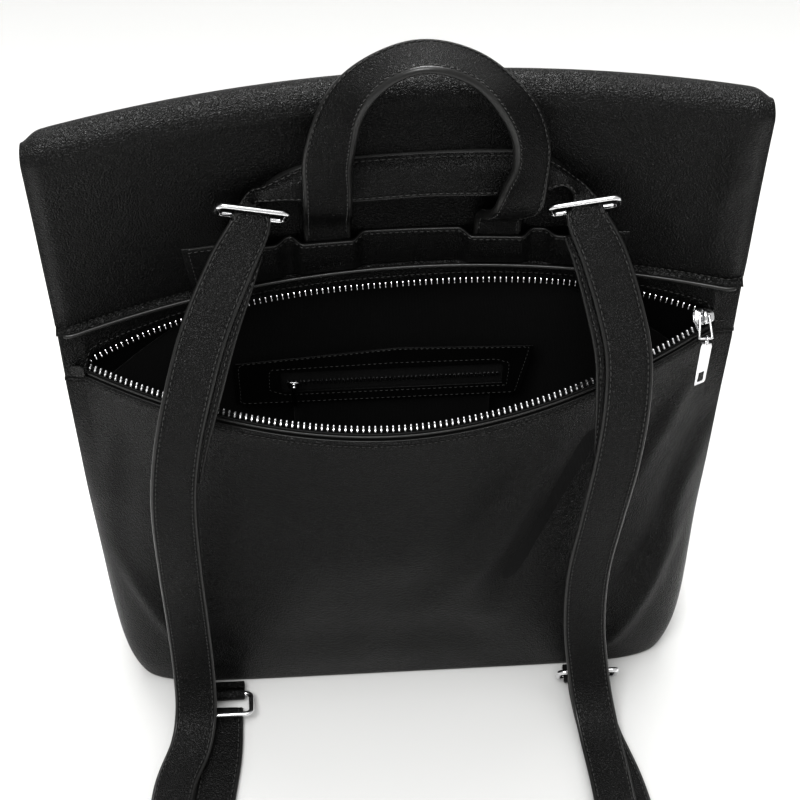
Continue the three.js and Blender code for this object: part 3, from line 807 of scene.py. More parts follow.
fold_end = np.radians(38)
upper = upper_grid(0.0, 260, 150, fold_end)
upper_skin = sheet("upper_back_skin", upper, upper_grid(1.9, 260, 150, fold_end),
                   [shell_leather, inner_leather, edge_coat_with_painted_highlight])
place(upper_skin, "bag", "leather", "back_upper_panel")
rise_at_middle = upper[130, :, 2] - seam_z(0.0)
stitch_at = np.argmin(np.abs(rise_at_middle - STITCH_UP))
welt_at = np.argmin(np.abs(rise_at_middle - WELT_UP))
seam_line = upper[:, stitch_at] + np.array([0, -0.1, 0])
seam_normals = surface_normals(upper)[:, stitch_at]
seam_normals *= -np.sign(seam_normals[:, 1:2])
place(stitch_row("upper_seam_stitches", seam_line, seam_normals, thread), "bag", "leather")
print("roll top:", upper[..., 2].max().round(1))

# %% [markdown]
# The flap carries on over the fold and hangs down the front. It bends where it crosses the roll
# and turns smoothly from the roll into its fall.

# %% Flap


FOLD_SHARE = 0.25


def flap_grid(inset, columns, rows, trim=0.0):
    """Quarter of its length goes round the roll and the rest falls to the snap."""
    x = lerp(-175.6 + trim * 2, 175.6 - trim * 2, np.linspace(0, 1, columns))[:, None]
    v = np.linspace(trim * 0.002, 1 - trim * 0.004, rows)[None, :]
    turn = lerp(np.radians(37), 0.0, np.clip(v / FOLD_SHARE, 0, 1))
    pinch = end_pinch(x)
    rolled = roll_point(x + 0 * turn, turn, ROLL_R - inset - pinch)
    fall = np.clip((v - FOLD_SHARE) / (1 - FOLD_SHARE), 0, 1)
    corner = 10 * np.maximum(0, np.abs(x / 173) * 8 - 7) ** 2
    z = lerp(roll_z(x), 196 + corner, fall)
    front = side_y(z) + front_depth(z) * (1 - (x / HALF) ** 2) + 8.2
    y = lerp(roll_y(x) + ROLL_R, front, ease(fall * 2.2)) - inset - pinch
    y = y + ripple(x, z, 13, 120, 0.8) * ease(fall / 0.2) * ease((1 - fall) / 0.1)
    hung = np.stack([x + 0 * z, y, z], -1)
    return np.where((v < FOLD_SHARE)[..., None], rolled, hung)


flap_outer = flap_grid(0.0, 200, 170)
flap_skin = sheet("flap_skin", flap_outer, flap_grid(1.9, 200, 170), [shell_leather, inner_leather])
flap_back = sheet("flap_lining_skin", flap_grid(3.0, 160, 120, 2.0), flap_grid(4.1, 160, 120, 2.0),
                  [inner_leather])
hem = flap_outer[4:-4, -6]
hem_normals = surface_normals(flap_outer)[4:-4, -6]
hem_normals *= np.sign(hem_normals[:, 1:2])
flap_stitches = stitch_row("flap_hem_stitches", hem, hem_normals, thread)
for piece, slot_name, stands in ((flap_skin, "leather", ["flap_outer"]),
                                 (flap_back, "inner_leather", ["flap_lining"]),
                                 (flap_stitches, "leather", [])):
    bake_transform(piece)
    place(piece, None, slot_name, *stands)
print("flap falls to", flap_outer[..., 2].min().round(1), "mm")

# %% [markdown]
# ## Small solids
# Metal parts are built from four shapes: a prism with bevelled rims, a plate with a hole, a round
# wire along a closed path and a turned profile. Bevels matter, because they catch the highlights.

# %% Prism, plate with a hole, wire, turned profile


def end_caps(columns, last_row):
    """Quads that close a ring of points by joining each point to its mirror across the ring."""
    low = np.arange(columns // 2 - 1)
    cap = np.stack([low, low + 1, columns - 2 - low, columns - 1 - low], 1)
    return np.concatenate([cap[:, ::-1], cap + last_row * columns])


def prism(outline, thick, bevel):
    """Outline (n, 2) in its own XY, thick along Z; the rim is drawn in by bevel on both faces."""
    centre = outline.mean(0)
    size = np.abs(outline - centre).max(0)
    small = centre + (outline - centre) * (1 - bevel / size)
    rings = [(small, -thick / 2), (outline, bevel - thick / 2), (outline, thick / 2 - bevel),
             (small, thick / 2)]
    points = np.concatenate([np.column_stack([p, np.full(len(p), z)]) for p, z in rings])
    quads = grid_faces(4, len(outline), close_columns=True)
    return points, np.concatenate([quads, end_caps(len(outline), 3)])


def hole_plate(outer, inner, thick, bevel):
    """Plate between two outlines with as many points each, both rims bevelled on both faces."""
    across = unit(inner - outer) * bevel
    half = thick / 2
    rings = [(outer, bevel - half), (outer, half - bevel), (outer + across, half),
             (inner - across, half), (inner, half - bevel), (inner, bevel - half),
             (inner - across, -half), (outer + across, -half)]
    points = np.concatenate([np.column_stack([p, np.full(len(p), z)]) for p, z in rings])
    return points, grid_faces(8, len(outer), close_rows=True, close_columns=True)


def wire(path, radius, sides=10, flat=1.0):
    """Round wire along a closed path that lies in a plane; flat thins it across the plane."""
    tangent = unit(np.roll(path, -1, 0) - np.roll(path, 1, 0))
    up = np.broadcast_to(unit(np.cross(path[0] - path.mean(0), tangent[0])), path.shape)
    out = np.cross(tangent, up)
    turn = np.linspace(0, 2 * np.pi, sides, endpoint=False)[None, :, None]
    ring = out[:, None] * np.cos(turn) + flat * up[:, None] * np.sin(turn)
    points = path[:, None] + radius * ring
    quads = grid_faces(len(path), sides, close_rows=True, close_columns=True)
    return points.reshape(-1, 3), quads


def turned(profile, sides=32):
    """Profile (n, 2) of radius and height, turned about Z, closed at both ends near the axis."""
    turn = np.linspace(0, 2 * np.pi, sides, endpoint=False)
    r, z = profile[:, :1], profile[:, 1:]
    points = np.stack([r * np.cos(turn), r * np.sin(turn), z + 0 * turn], 2)
    quads = grid_faces(len(profile), sides, close_columns=True)
    return points.reshape(-1, 3), np.concatenate([quads, end_caps(sides, len(profile) - 1)])


def rounded(width, height, corner, per_corner=6):
    """Rounded rectangle, counted anticlockwise from the middle of its right side."""
    turn = np.concatenate([np.linspace(0, 90, per_corner) + 90 * k for k in range(4)])
    signs = np.repeat([[1, 1], [-1, 1], [-1, -1], [1, -1]], per_corner, 0)
    centre = signs * np.array([width / 2 - corner, height / 2 - corner])
    return centre + corner * np.stack([np.cos(np.radians(turn)), np.sin(np.radians(turn))], 1)


def turn_x(degrees):
    """Rotation about X."""
    c, s = np.cos(np.radians(degrees)), np.sin(np.radians(degrees))
    return np.array([[1, 0, 0], [0, c, -s], [0, s, c]])


def turn_y(degrees):
    """Rotation about Y."""
    c, s = np.cos(np.radians(degrees)), np.sin(np.radians(degrees))
    return np.array([[c, 0, s], [0, 1, 0], [-s, 0, c]])


def turn_z(degrees):
    """Rotation about Z."""
    c, s = np.cos(np.radians(degrees)), np.sin(np.radians(degrees))
    return np.array([[c, -s, 0], [s, c, 0], [0, 0, 1]])


def moved(shape, axes=np.eye(3), at=(0, 0, 0)):
    """Shape turned by a matrix, then moved."""
    return shape[0] @ np.asarray(axes).T + np.asarray(at, float), shape[1]


def solid(name, shapes, material, smooth=False):
    """One object out of several closed shapes, each turned to face outwards."""
    points, faces, start = [], [], 0
    for p, q in shapes:
        faces.append((q if signed_volume(p, q) > 0 else q[:, ::-1]) + start)
        points.append(p)
        start += len(p)
    return new_mesh(name, np.concatenate(points), np.concatenate(faces), smooth, [material])


print("prism faces:", len(prism(rounded(4, 3, 1), 1, 0.2)[1]))

# %% [markdown]
# ## Zip
# Each lip has a leather facing with a turned edge, a woven tape under it and a row of metal teeth
# clamped on the tape's edge at 3 mm pitch. The far row is seen from its end, the near row from its
# side, which is why the two look different.

# %% Facings and tapes


def lip_strip(lip, half, low_edge, high_edge, thick, columns=220, rows=7, crown=0.0):
    """Outer and inner grids of a strip along a lip, from one [y, z] offset to another. The crown
    is a half sine across the strip, which rounds a turned edge."""
    x = np.linspace(-half, half, columns)[:, None]
    v = np.linspace(0, 1, rows)[None, :]
    base = lip(x[:, 0])[:, None]
    move = np.stack([0 * v, lerp(low_edge[0], high_edge[0], v),
                     lerp(low_edge[1], high_edge[1], v)], 2)
    outer = base + move
    outer[..., 1] -= crown * np.sin(np.pi * v)
    inner = base + move + np.array([0, thick, 0])
    return outer, inner


near_outer, near_inner = lip_strip(near_lip, 165, (-1.1, -10.5), (-1.7, -2.3), 1.2, crown=0.2)
near_facing = sheet("near_facing_skin", near_outer, near_inner, [inner_leather])
place(near_facing, "bag", "leather", "near_zip_facing")
tape_outer, tape_inner = lip_strip(near_lip, 161, (3.0, -13.0), (0.3, -0.6), 0.8)
place(sheet("near_tape_cloth", tape_outer, tape_inner, [zip_cloth]), "bag", "zip_tape",
      "near_zip_tape")


def far_facing(inset, columns=300, rows=14):
    """From just above the far teeth up to the seam. Past the mouth it closes down over the near
    panel, so the leather is unbroken round both ends of the zip."""
    x = np.linspace(-175.4, 175.4, columns)[:, None]
    v = np.linspace(0, 1, rows)[None, :]
    held = np.clip(x, -ZIP_HALF, ZIP_HALF)
    past = ease((np.abs(x) - 160) / 6)
    low_y = lerp(far_lip(held)[..., 1] + 0.4, near_lip(held)[..., 1] - 3.2, past)
    low_z = lerp(far_lip(held)[..., 2] + 3.0, near_edge(x) - 9.0, past)
    top = seam_z(x) + 2.5
    y = lerp(low_y, upper_back(x, top) + 2.4, v) - 0.6 * np.sin(np.pi * np.sqrt(v))
    return np.stack([x + 0 * v, y + inset, lerp(low_z, top, v)], -1)


place(sheet("far_facing_skin", far_facing(0), far_facing(1.6), [shell_leather, inner_leather]),
      "bag", "leather", "far_zip_facing")
tape_outer, tape_inner = lip_strip(far_lip, 152, (2.3, -0.4), (2.9, 11), 0.8)
place(sheet("far_tape_cloth", tape_outer, tape_inner, [zip_cloth]), "bag", "zip_tape",
      "far_zip_tape")
toward = np.array([0.0, -1.0, 0.3])
panel_rim = near_lip(np.linspace(-160, 152, 300)) + [0, -2.75, -11.2]
for name, rim in (("near_facing_stitches", panel_rim),
                  ("far_facing_stitches", far_facing(0)[4:-4, 3] + [0, -0.15, 0])):
    place(stitch_row(name, rim, np.broadcast_to(toward, rim.shape), thread, 3.1, 2.2, 0.3),
          "bag", "leather")
print("facings sewn")

# %% [markdown]
# Where leather is turned over an edge it is stretched smooth, and each turned edge shows as one
# thin bright line. A bead is a round bar along such a line, with closed ends, coloured lighter than
# the leather face as a painted highlight.

# %% Turned edges
BEAD_SIDES = 10
# Turned edges are drawn in the lighter edge colour: a painted highlight, since the turned leather
# is the same as the face.
bead_painted_highlight = painted_highlight_edge("turned_leather_edge_painted_highlight", 0.3)


def bead(name, line, radius):
    """Thin rounded edge, where a turned piece of leather catches the light; its lighter colour is a
    painted highlight.
    """
    turn = np.linspace(0, 2 * np.pi, BEAD_SIDES, endpoint=False)[None, :, None]
    tangent = unit(np.gradient(line, axis=0))
    out = unit(np.cross(tangent, [0.0, 0.0, 1.0]))
    rise = np.cross(out, tangent)
    points = line[:, None] + radius * (out[:, None] * np.cos(turn) + rise[:, None] * np.sin(turn))
    quads = np.concatenate([grid_faces(len(line), BEAD_SIDES, close_columns=True),
                            end_caps(BEAD_SIDES, len(line) - 1)])
    bar = solid(name, [(points.reshape(-1, 3), quads)], bead_painted_highlight, True)
    return place(bar, "bag", "leather")


bead("upper_seam_bead", upper[3:-3, welt_at] + [0, 0.15, 0], 1.25)
bead("near_facing_bead", near_lip(np.linspace(-163, 155, 260)) + [0, -2.5, -3.3], 0.6)
bead("far_facing_bead", far_facing(0)[20:-20, 0] + [0, 0.5, 0.3], 0.55)
print("turned edges ready")

# %% Teeth
TOOTH_PITCH = 3.0


def tooth(wide, deep, tall, waist=1.0):
    """Octagonal bar standing on Z with both ends drawn in; waist thins it halfway up."""
    a, b = wide / 2, deep / 2
    k = 0.6
    section = np.array([[a, b * k], [a * k, b], [-a * k, b], [-a, b * k],
                        [-a, -b * k], [-a * k, -b], [a * k, -b], [a, -b * k]])
    rings = [(0.62, -0.5), (1, -0.38), (1, -0.16), (waist, 0), (1, 0.16), (1, 0.38), (0.62, 0.5)]
    points = np.concatenate([np.column_stack([section * share, np.full(8, tall * t)])
                             for share, t in rings])
    return points, np.concatenate([grid_faces(7, 8, close_columns=True), end_caps(8, 6)])


def tooth_row(name, lip, first, last, shape, lean):
    """Teeth at 3 mm steps along a lip, each square to the lip and leaning back by lean degrees."""
    line = lip(np.linspace(first, last, 400))
    line = even(line, round(path_length(line) / TOOTH_PITCH))
    run = unit(np.gradient(line, axis=0))
    up = np.broadcast_to(turn_x(-lean) @ np.array([0.0, 0.0, 1.0]), run.shape)
    up = unit(up - run * np.sum(up * run, 1, keepdims=True))
    axes = np.stack([run, np.cross(up, run), up], 2)
    return copies(name, shape, line, axes, teeth_metal, False)


for side_name, lip, shape, lean in (("near", near_lip, tooth(1.15, 1.9, 3.7, 0.7), 32),
                                    ("far", far_lip, tooth(0.85, 1.1, 3.2, 0.2), 25)):
    place(tooth_row(f"{side_name}_teeth", lip, -161.5, 155, shape, lean), "bag", "nickel",
          f"{side_name}_zip_chain")
end_tab = moved(prism(rounded(7.5, 8.6, 2.2), 0.9, 0.3), turn_z(-12) @ turn_x(90), (-168, 2.9, 231))
place(solid("zip_end_leather", [end_tab], shell_leather), "bag", "leather", "zip_end_tab")
print("zip teeth ready")

# %% [markdown]
# The slider is two shield plates on a post with a bridge over the top; a tapered wire link hangs
# on the bridge, and a plate with a slanted end hangs on the link.

# %% Slider, link and pull plate
SLIDER_AT = np.array([158.5, 5.4, 249.5])


def shield(length, wide, waist):
    """Slider plate: wider at the front, with a waist, 24 points."""
    t = np.radians(np.arange(7.5, 367, 15))
    x = length / 2 * np.sign(np.cos(t)) * np.abs(np.cos(t)) ** 0.55
    y = wide / 2 * np.sign(np.sin(t)) * np.abs(np.sin(t)) ** 0.6
    y = y * (1 - waist * ease(x / length + 0.5))
    return np.stack([x, y], 1)


def bridge(size, thick):
    """Arch over the slider along Y: a bar whose middle stands up, 12 rows of 6 points."""
    t = np.linspace(0, np.pi, 12)
    line = size * np.stack([0 * t, -0.42 * np.cos(t), 0.26 + 0.42 * np.sin(t) ** 0.7], 1)
    turn = np.linspace(0, 2 * np.pi, 6, endpoint=False)
    tangent = unit(np.gradient(line, axis=0))
    out = np.cross(tangent, [1.0, 0, 0])
    points = line[:, None] + thick * (np.cos(turn)[:, None] * np.array([1.0, 0, 0]) * 1.3
                                      + np.sin(turn)[:, None] * out[:, None] * 0.8)
    quads = np.concatenate([grid_faces(12, 6, close_columns=True), end_caps(6, 11)])
    return points.reshape(-1, 3), quads


plate_outline = shield(10.8, 9.2, 0.25)
slider_parts = [moved(prism(plate_outline, 1.4, 0.35), at=(0, 0, -1.98)),
                moved(prism(plate_outline, 1.4, 0.35), at=(0, 0, 1.98)),
                moved(prism(rounded(2.6, 2.4, 0.6), 4.0, 0.1), at=(3.1, 0, 0)), bridge(9, 0.9)]
slider_turn = turn_x(35)
place(solid("zip_slider", [moved(s, slider_turn, SLIDER_AT) for s in slider_parts], nickel, True),
      "slider", "nickel", "main_slider")


def trapezoid_path(top, low, high_y, low_y, per_side=7):
    """Closed four-sided path with evenly spaced points on each side."""
    corners = np.array([[-top, high_y], [-low, low_y], [low, low_y], [top, high_y]])
    t = np.linspace(0, 1, per_side, endpoint=False)[:, None]
    return np.concatenate([lerp(corners[k], corners[(k + 1) % 4], t) for k in range(4)])


link_line = trapezoid_path(2.35, 3.4, 0.0, -11.9)
link_wire = wire(np.column_stack([link_line, np.zeros(len(link_line))]), 0.72, 8, 0.85)
place(solid("zip_link", [moved(link_wire, turn_x(41), (158.5, 3.25, 252.6))], nickel, True), "link",
      "nickel", "pull_link")


def four_sided(corners, per_side=8):
    """Outline through four corners, each softened by starting just past it."""
    corners = np.array(corners, float)
    t = np.linspace(0.06, 0.94, per_side)[:, None]
    return np.concatenate([lerp(corners[k], corners[(k + 1) % 4], t) for k in range(4)])


tag_outer = four_sided([(2.9, 1.4), (-2.9, 1.4), (-2.9, -32.5), (2.9, -29.0)])
tag_inner = four_sided([(1.3, -20.4), (-1.3, -22.0), (-1.3, -29.2), (1.3, -27.6)])
tag = hole_plate(tag_outer, tag_inner, 1.4, 0.3)
eye_turn = np.linspace(0, 2 * np.pi, 20, endpoint=False)
eye_path = np.stack([0 * eye_turn, 1.7 * np.cos(eye_turn), 2.4 * np.sin(eye_turn)], 1)
tag_eye = moved(wire(eye_path, 0.55, 8), at=(159.1, -6.3, 244.0))
tag_plate = moved(tag, turn_x(90), (159.1, -6.8, 241.0))
place(solid("zip_pull_plate", [tag_plate, tag_eye], nickel), "pull", "nickel", "pull_plate")
print("slider, link and plate ready")

# %% [markdown]
# ## Inner pocket
# A welt of smooth leather is sewn to the far lining with a zip in its window.

# %% Pocket
POCKET_Y = 37.5


def five_sided(corners, count=80):
    """Evenly spaced outline through any number of corners."""
    corners = np.array(corners + corners[:1], float)
    return even(np.column_stack([corners, np.zeros(len(corners))]), count + 1)[:-1, :2]


def standing(shape, y):
    """Shape drawn in XY stood up in the XZ plane at a given Y."""
    return moved(shape, turn_x(90), (0, y, 0))


welt_out = five_sided([(70, 157), (77, 196), (2, 199), (-90, 191), (-90, 157)])
welt_in = five_sided([(60, 166), (60, 183), (0, 183), (-64, 183), (-64, 166)])
welt = hole_plate(welt_out, welt_in, 1.4, 0.3)
place(solid("pocket_welt", [standing(welt, POCKET_Y + 0.7)], inner_leather), "bag", "inner_leather",
      "pocket_facing")
place(solid("pocket_tape_cloth", [standing(prism(rounded(130, 22, 1) + [-2, 174.5], 0.9, 0.2),
      POCKET_Y + 2.3)], zip_cloth), "bag", "zip_tape", "pocket_tape")
sack = prism(rounded(112, 72, 8) + [-2, 125], 3.2, 1.2)
place(solid("pocket_sack_cloth", [standing(sack, POCKET_Y + 4.6)], lining_cloth, True), "bag",
      "lining_cloth", "pocket_bag")
across = np.arange(-60.5, 58, 2.4)
small_teeth = np.column_stack([across, 0 * across + POCKET_Y + 0.9, 0 * across + 173.0])
upright = np.tile(np.eye(3), (len(across), 1, 1))
place(copies("pocket_teeth", tooth(1.3, 1.2, 3.0), small_teeth, upright, teeth_metal, False), "bag",
      "nickel", "pocket_chain")
place(solid("pocket_zip_slider", [moved(prism(shield(7, 5.6, 0.2), 1.2, 0.3), turn_x(90),
      (-57, POCKET_Y - 0.9, 173))], nickel), "inner_slider", "nickel", "pocket_slider")
place(solid("pocket_zip_pull", [moved(prism(rounded(3.2, 16.4, 1.4), 1.0, 0.25), turn_x(90),
      (-57, POCKET_Y - 2.6, 164.8))], nickel), "inner_pull", "nickel", "pocket_pull")
for name, ring_line in (("pocket_rim_stitches", welt_out * 0.965 + [-0.2, 6.1]),
                        ("pocket_window_stitches", lerp(welt_in, welt_out, 0.25))):
    loop = np.vstack([ring_line, ring_line[:1]])
    line = np.column_stack([loop[:, 0], np.full(len(loop), POCKET_Y - 0.1), loop[:, 1]])
    place(stitch_row(name, line, np.tile([0.0, -1.0, 0.0], (len(line), 1)), thread, 3.0, 2.1, 0.28),
          "bag", "inner_leather")
print("pocket ready")

# %% [markdown]
# ## Patch and handle
# The patch hugs the panel and swells over what it is sewn across: two handle ends and two ring
# tabs. Each swelling is a plateau with smooth sides, so the patch steps over it as leather does.

# %% Reinforcement patch
HANDLE_FEET, TAB_FEET = (-35.5, 50.2), (-71.5, 90.0)


def plateau(x, middle, half, soft):
    """1 within half of the middle, falling smoothly to 0 over soft."""
    return ease((half + soft - np.abs(x - middle)) / soft)


def patch_grid(inset, columns=260, rows=46):
    """Follows the panel at 1.6 mm, and lifts by 5.6 mm over the feet beneath it."""
    u = np.linspace(0, 1, columns)[:, None]
    v = np.linspace(0, 1, rows)[None, :]
    x = lerp(-109, 117, u) + lerp(3.5, 0, v) * (1 - 2 * u)
    lift = sum(plateau(x, m, 12, 7) for m in HANDLE_FEET)
    lift = np.minimum(lift + 0.8 * sum(plateau(x, m, 9, 7) for m in TAB_FEET), 1)
    z = lerp(seam_z(x) + 3.5, 297 + 4 * (2 * u - 1) ** 2 - 1.2 * lift, v)
    rise = 1.6 + 5.6 * lift * ease((v + 0.35) / 0.9)
    puff = 0.5 * np.sin(np.pi * v) * (1 - lift)
    hem = 0.7 * (1 - ease(np.minimum(np.minimum(v, 1 - v) * 34, np.minimum(u, 1 - u) * 220) / 2.2))
    y = upper_face(x, z) - rise - puff + hem + inset
    return np.stack([x + 0 * z, y, z], -1)


patch = patch_grid(0.0)
place(sheet("patch_skin", patch, patch_grid(1.3), [strap_leather, inner_leather, edge_coat_with_painted_highlight]),
      "bag", "leather", "reinforcement_patch")
patch_normals = surface_normals(patch)
patch_normals *= -np.sign(patch_normals[..., 1:2])
rim, rim_normals = (np.concatenate([grid[4, 3:-4], grid[4:-4, -4], grid[-5, -4:3:-1]])
                    for grid in (patch, patch_normals))
place(stitch_row("patch_stitches", rim, rim_normals, thread, 3.2, 2.3, 0.32), "bag", "leather")
bead("patch_bead", patch[4:-4, -2] + [0, 0.1, 0.2], 0.7)
print("patch points:", patch.shape)

# %% [markdown]
# Handle and strap are the same kind of thing: one outline with two pressed stitch channels and
# half-round painted edges, carried along a path that also says which way the width points.

# %% Straps with their stitches
STRAP_WIDE, STRAP_THICK, HANDLE_THICK = 24, 3, 4


def strap(name, line, width, thick, materials, cup=None):
    """Carried strap; cup curls one edge back by that many millimetres at each row, and a seventh
    column of the line is the share of its width that the strap keeps where it is gathered."""
    section = strap_section(width, thick)
    _, side, normal = path_frame(line)
    a, out = section[:, 0], section[:, 1]
    curl = np.zeros(len(line)) if cup is None else cup
    back = curl[:, None] * np.clip((-2 * a / width - 0.3) / 0.7, 0, 1)[None, :] ** 1.5
    gathered = line[:, 6] if line.shape[1] > 6 else np.ones(len(line))
    points = (line[:, None, :3] + side[:, None] * (a[None, :] * gathered[:, None])[..., None]
              + normal[:, None] * (out[None, :] - back)[..., None])
    rows, columns = points.shape[:2]
    quads = np.concatenate([grid_faces(rows, columns, close_columns=True),
                            end_caps(columns, rows - 1)])
    which = np.concatenate([np.tile(STRAP_SECTION_EDGE, rows - 1),
                            np.ones(len(quads) - (rows - 1) * columns)])
    return new_mesh(name, points.reshape(-1, 3), quads, True, materials, which)


def strap_stitches(name, line, width, thick, cup=None, pitch=3.4):
    """A row of stitches near both edges on both faces, as one object."""
    _, side, normal = path_frame(line)
    made = []
    for face in (1, -1):
        for edge in (1, -1):
            a = edge * (width / 2 - STITCH_IN)
            out = face * (thick / 2 + 0.02)
            share = ((0.7 - 2 * STITCH_IN / width) / 0.7) ** 1.5
            back = 0 if cup is None or edge > 0 else cup * share
            gathered = line[:, 6:7] if line.shape[1] > 6 else 1.0
            row = line[:, :3] + side * a * gathered + normal * np.reshape(out - back, (-1, 1))
            made.append(stitch_row(name, row, normal * face, thread, pitch))
    bpy.ops.object.select_all(action="DESELECT")
    for piece in made:
        piece.select_set(True)
    bpy.context.view_layer.objects.active = made[0]
    bpy.ops.object.join()
    return bpy.context.view_layer.objects.active


handle_stops = [
    (-35.5, 30, 282, 1, 0.07, 0), (-35.5, 27.4, 299, 1, 0.07, 0), (-35.5, 25.4, 311, 1, 0.07, 0),
    (-35.3, 17.5, 323, 1, 0, 0), (-35.2, 8.5, 335, 1, 0, 0), (-35, 5.5, 351, 1, 0, 0),
    (-34, 3, 375, 0.95, -0.3, 0), (-25, 0, 409, 0.6, -0.8, 0.1), (-8, -3, 431, 0.2, -1, 0.1),
    (12, -4, 438, 0, -1, 0.1), (34.5, -3, 427, -0.2, -1, 0.1), (54, 0, 399, -0.5, -0.85, 0),
    (61, 2.5, 372, -0.75, -0.65, 0), (59.5, 4.5, 349, -0.95, -0.3, 0), (57, 5, 334, -1, 0, 0),
    (53.5, 13.5, 322, -1, 0, 0), (51, 24, 311, -1, 0.1, 0), (50.4, 26.3, 299, -1, 0.1, 0),
    (50, 28.9, 282, -1, 0.1, 0)]
handle_line = spline(handle_stops, 300)
handle_skin = strap("handle_skin", handle_line, STRAP_WIDE, HANDLE_THICK,
                    [strap_leather, edge_coat_with_painted_highlight])
handle_sewing = strap_stitches("handle_stitches", handle_line[16:-16], STRAP_WIDE, HANDLE_THICK)
for piece, stands in ((handle_skin, ["handle", "handle_end_left", "handle_end_right"]),
                      (handle_sewing, [])):
    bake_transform(piece)
    place(piece, None, "leather", *stands)
print("handle length:", path_length(handle_line).round(), "mm")

# %% [markdown]
# ## Rings
# Each ring is round wire bent to a rounded rectangle. It hangs by one long side in the eye of a
# leather tab, whose tail is sewn under the patch or to the base.

# %% Rings and tabs


RING_LONG, WIRE_THICK, EYE_OUT, TAB_LEATHER = 37, 3, 3.5, 1.4


def ring_wire(short):
    """Wire along the middle of a rounded rectangle; its first long side is at the pivot."""
    high = short - WIRE_THICK
    path = rounded(RING_LONG - WIRE_THICK, high, 3.4, 9) + [0, high / 2]
    return wire(np.column_stack([path, np.zeros(len(path))]), WIRE_THICK / 2, 14)


def tab_outline(tail, count=72):
    """Keyhole outline: a round eye with two layers of leather below it."""
    open_at = np.arcsin(TAB_LEATHER / EYE_OUT)
    t = np.linspace(-np.pi / 2 + open_at, 1.5 * np.pi - open_at, 48)
    eye = EYE_OUT * np.stack([np.cos(t), np.sin(t)], 1)
    loop = np.vstack([eye, [-TAB_LEATHER, -tail], [TAB_LEATHER, -tail], eye[:1]])
    return even(np.column_stack([loop, np.zeros(len(loop))]), count + 1)[:-1, :2]


def tab_shape(width, tail):
    """Keyhole plate as wide as the tab, with a round eye 2.4 mm in radius."""
    outer = tab_outline(tail)
    start = np.arctan2(outer[0, 1], outer[0, 0])
    bearing = np.unwrap(np.arctan2(outer[:, 1], outer[:, 0]))
    share = (bearing - bearing[0]) / (bearing[-1] - bearing[0])
    spread = start + share * 2 * np.pi * 71 / 72
    inner = 2.4 * np.stack([np.cos(spread), np.sin(spread)], 1)
    return moved(hole_plate(outer, inner, width, 0.5), turn_x(90) @ turn_y(90))


for level, side_name, at, short, lean, tilt, tab_lean, tail, width in (
        ("top", "left", (-73, 13.8, 327), 14, 116, 13, 16, 36, 18),
        ("top", "right", (91, 11.5, 325), 14, 116, -9, 16, 36, 18),
        ("bottom", "left", (-108, -58.5, 5.2), 20, 165, 0, 88, 8, 26),
        ("bottom", "right", (108, -58.5, 5.2), 20, 112, 0, 88, 8, 26)):
    ring = moved(ring_wire(short), turn_y(tilt) @ turn_x(lean), at)
    ring_name = f"ring_{level}_{side_name}"
    place(solid(ring_name, [ring], nickel, True), ring_name, "nickel", f"{level}_ring_{side_name}")
    tab = moved(tab_shape(width, tail), turn_y(tilt) @ turn_x(tab_lean), at)
    place(solid(f"tab_{level}_{side_name}", [tab], strap_leather, True), "bag", "leather",
          f"{level}_ring_tab_{side_name}")
print("rings:", 4)

# %% [markdown]
# ## Shoulder strap
# One strap runs from the left base ring, along the floor, up the back and through the top left
# ring, turns on edge, passes behind the handle and comes down the other side in the same way.

# %% Strap path
left_up = [
    (-108, -67, 3, 1, 0, 0, 1), (-109, -98, 2.2, 1, 0, 0, 1), (-114, -133, 2.6, 1, -0.1, 0, 1),
    (-121, -190, 3.7, 1, -0.1, 0, 1), (-127, -268, 3.7, 1, -0.1, 0, 1), (-130, -290, 4, 1, 0, 0, 1),
    (-133, -300, 13, 1, 0, 0, 1), (-136, -285, 17, 1, 0, 0, 1), (-139, -245, 11.4, 1, 0, 0, 1),
    (-140, -180, 9.8, 1, 0, 0, 1), (-136, -124, 7.6, 1, 0.2, 0, 1), (-126, -94, 9, 1, 0.1, 0, 1),
    (-122.5, -76, 19, 1, 0, 0, 1), (-122, -65, 45, 1, 0, 0, 1), (-122, -61, 90, 1, 0, 0, 1),
    (-122, -60.5, 140, 1, 0, 0, 1), (-121, -57.5, 190, 1, 0.1, 0, 1),
    (-116.5, -52, 227, 1, 0.1, 0, 1), (-108, -42, 262, 1, 0, 0, 1),
    (-98, -26, 289, 1, 0, 0.1, 1), (-84, -7, 313, 1, 0, 0.05, 0.97),
    (-73.2, 5.5, 328.2, 0.974, 0, -0.225, 0.85), (-73, 9.75, 331.8, 0.974, 0, -0.225, 0.7)]
over = [
    (-72.4, 15.3, 335.0, 0.9, -0.3, -0.2, 0.38), (-69.8, 14.4, 340.5, 0.5, -0.7, -0.4, 0.3),
    (-65.5, 12.2, 343.5, 0.1, -0.6, -0.8, 0.32), (-56, 13.8, 344.5, 0, -0.25, -1, 0.5),
    (-43, 15, 345.5, 0, -0.15, -1, 0.8), (-22, 16.4, 345.5, 0, -0.15, -1, 1),
    (15, 17.4, 346, 0, -0.15, -1, 1), (52, 15.6, 346.5, 0, -0.15, -1, 1),
    (69, 14.2, 347, 0, -0.25, -1, 0.75), (79, 12.4, 346.5, -0.1, -0.6, -0.8, 0.38),
    (84, 13.2, 341.5, -0.5, -0.7, -0.3, 0.3), (88.6, 13.1, 335.0, -0.9, -0.25, -0.1, 0.38)]
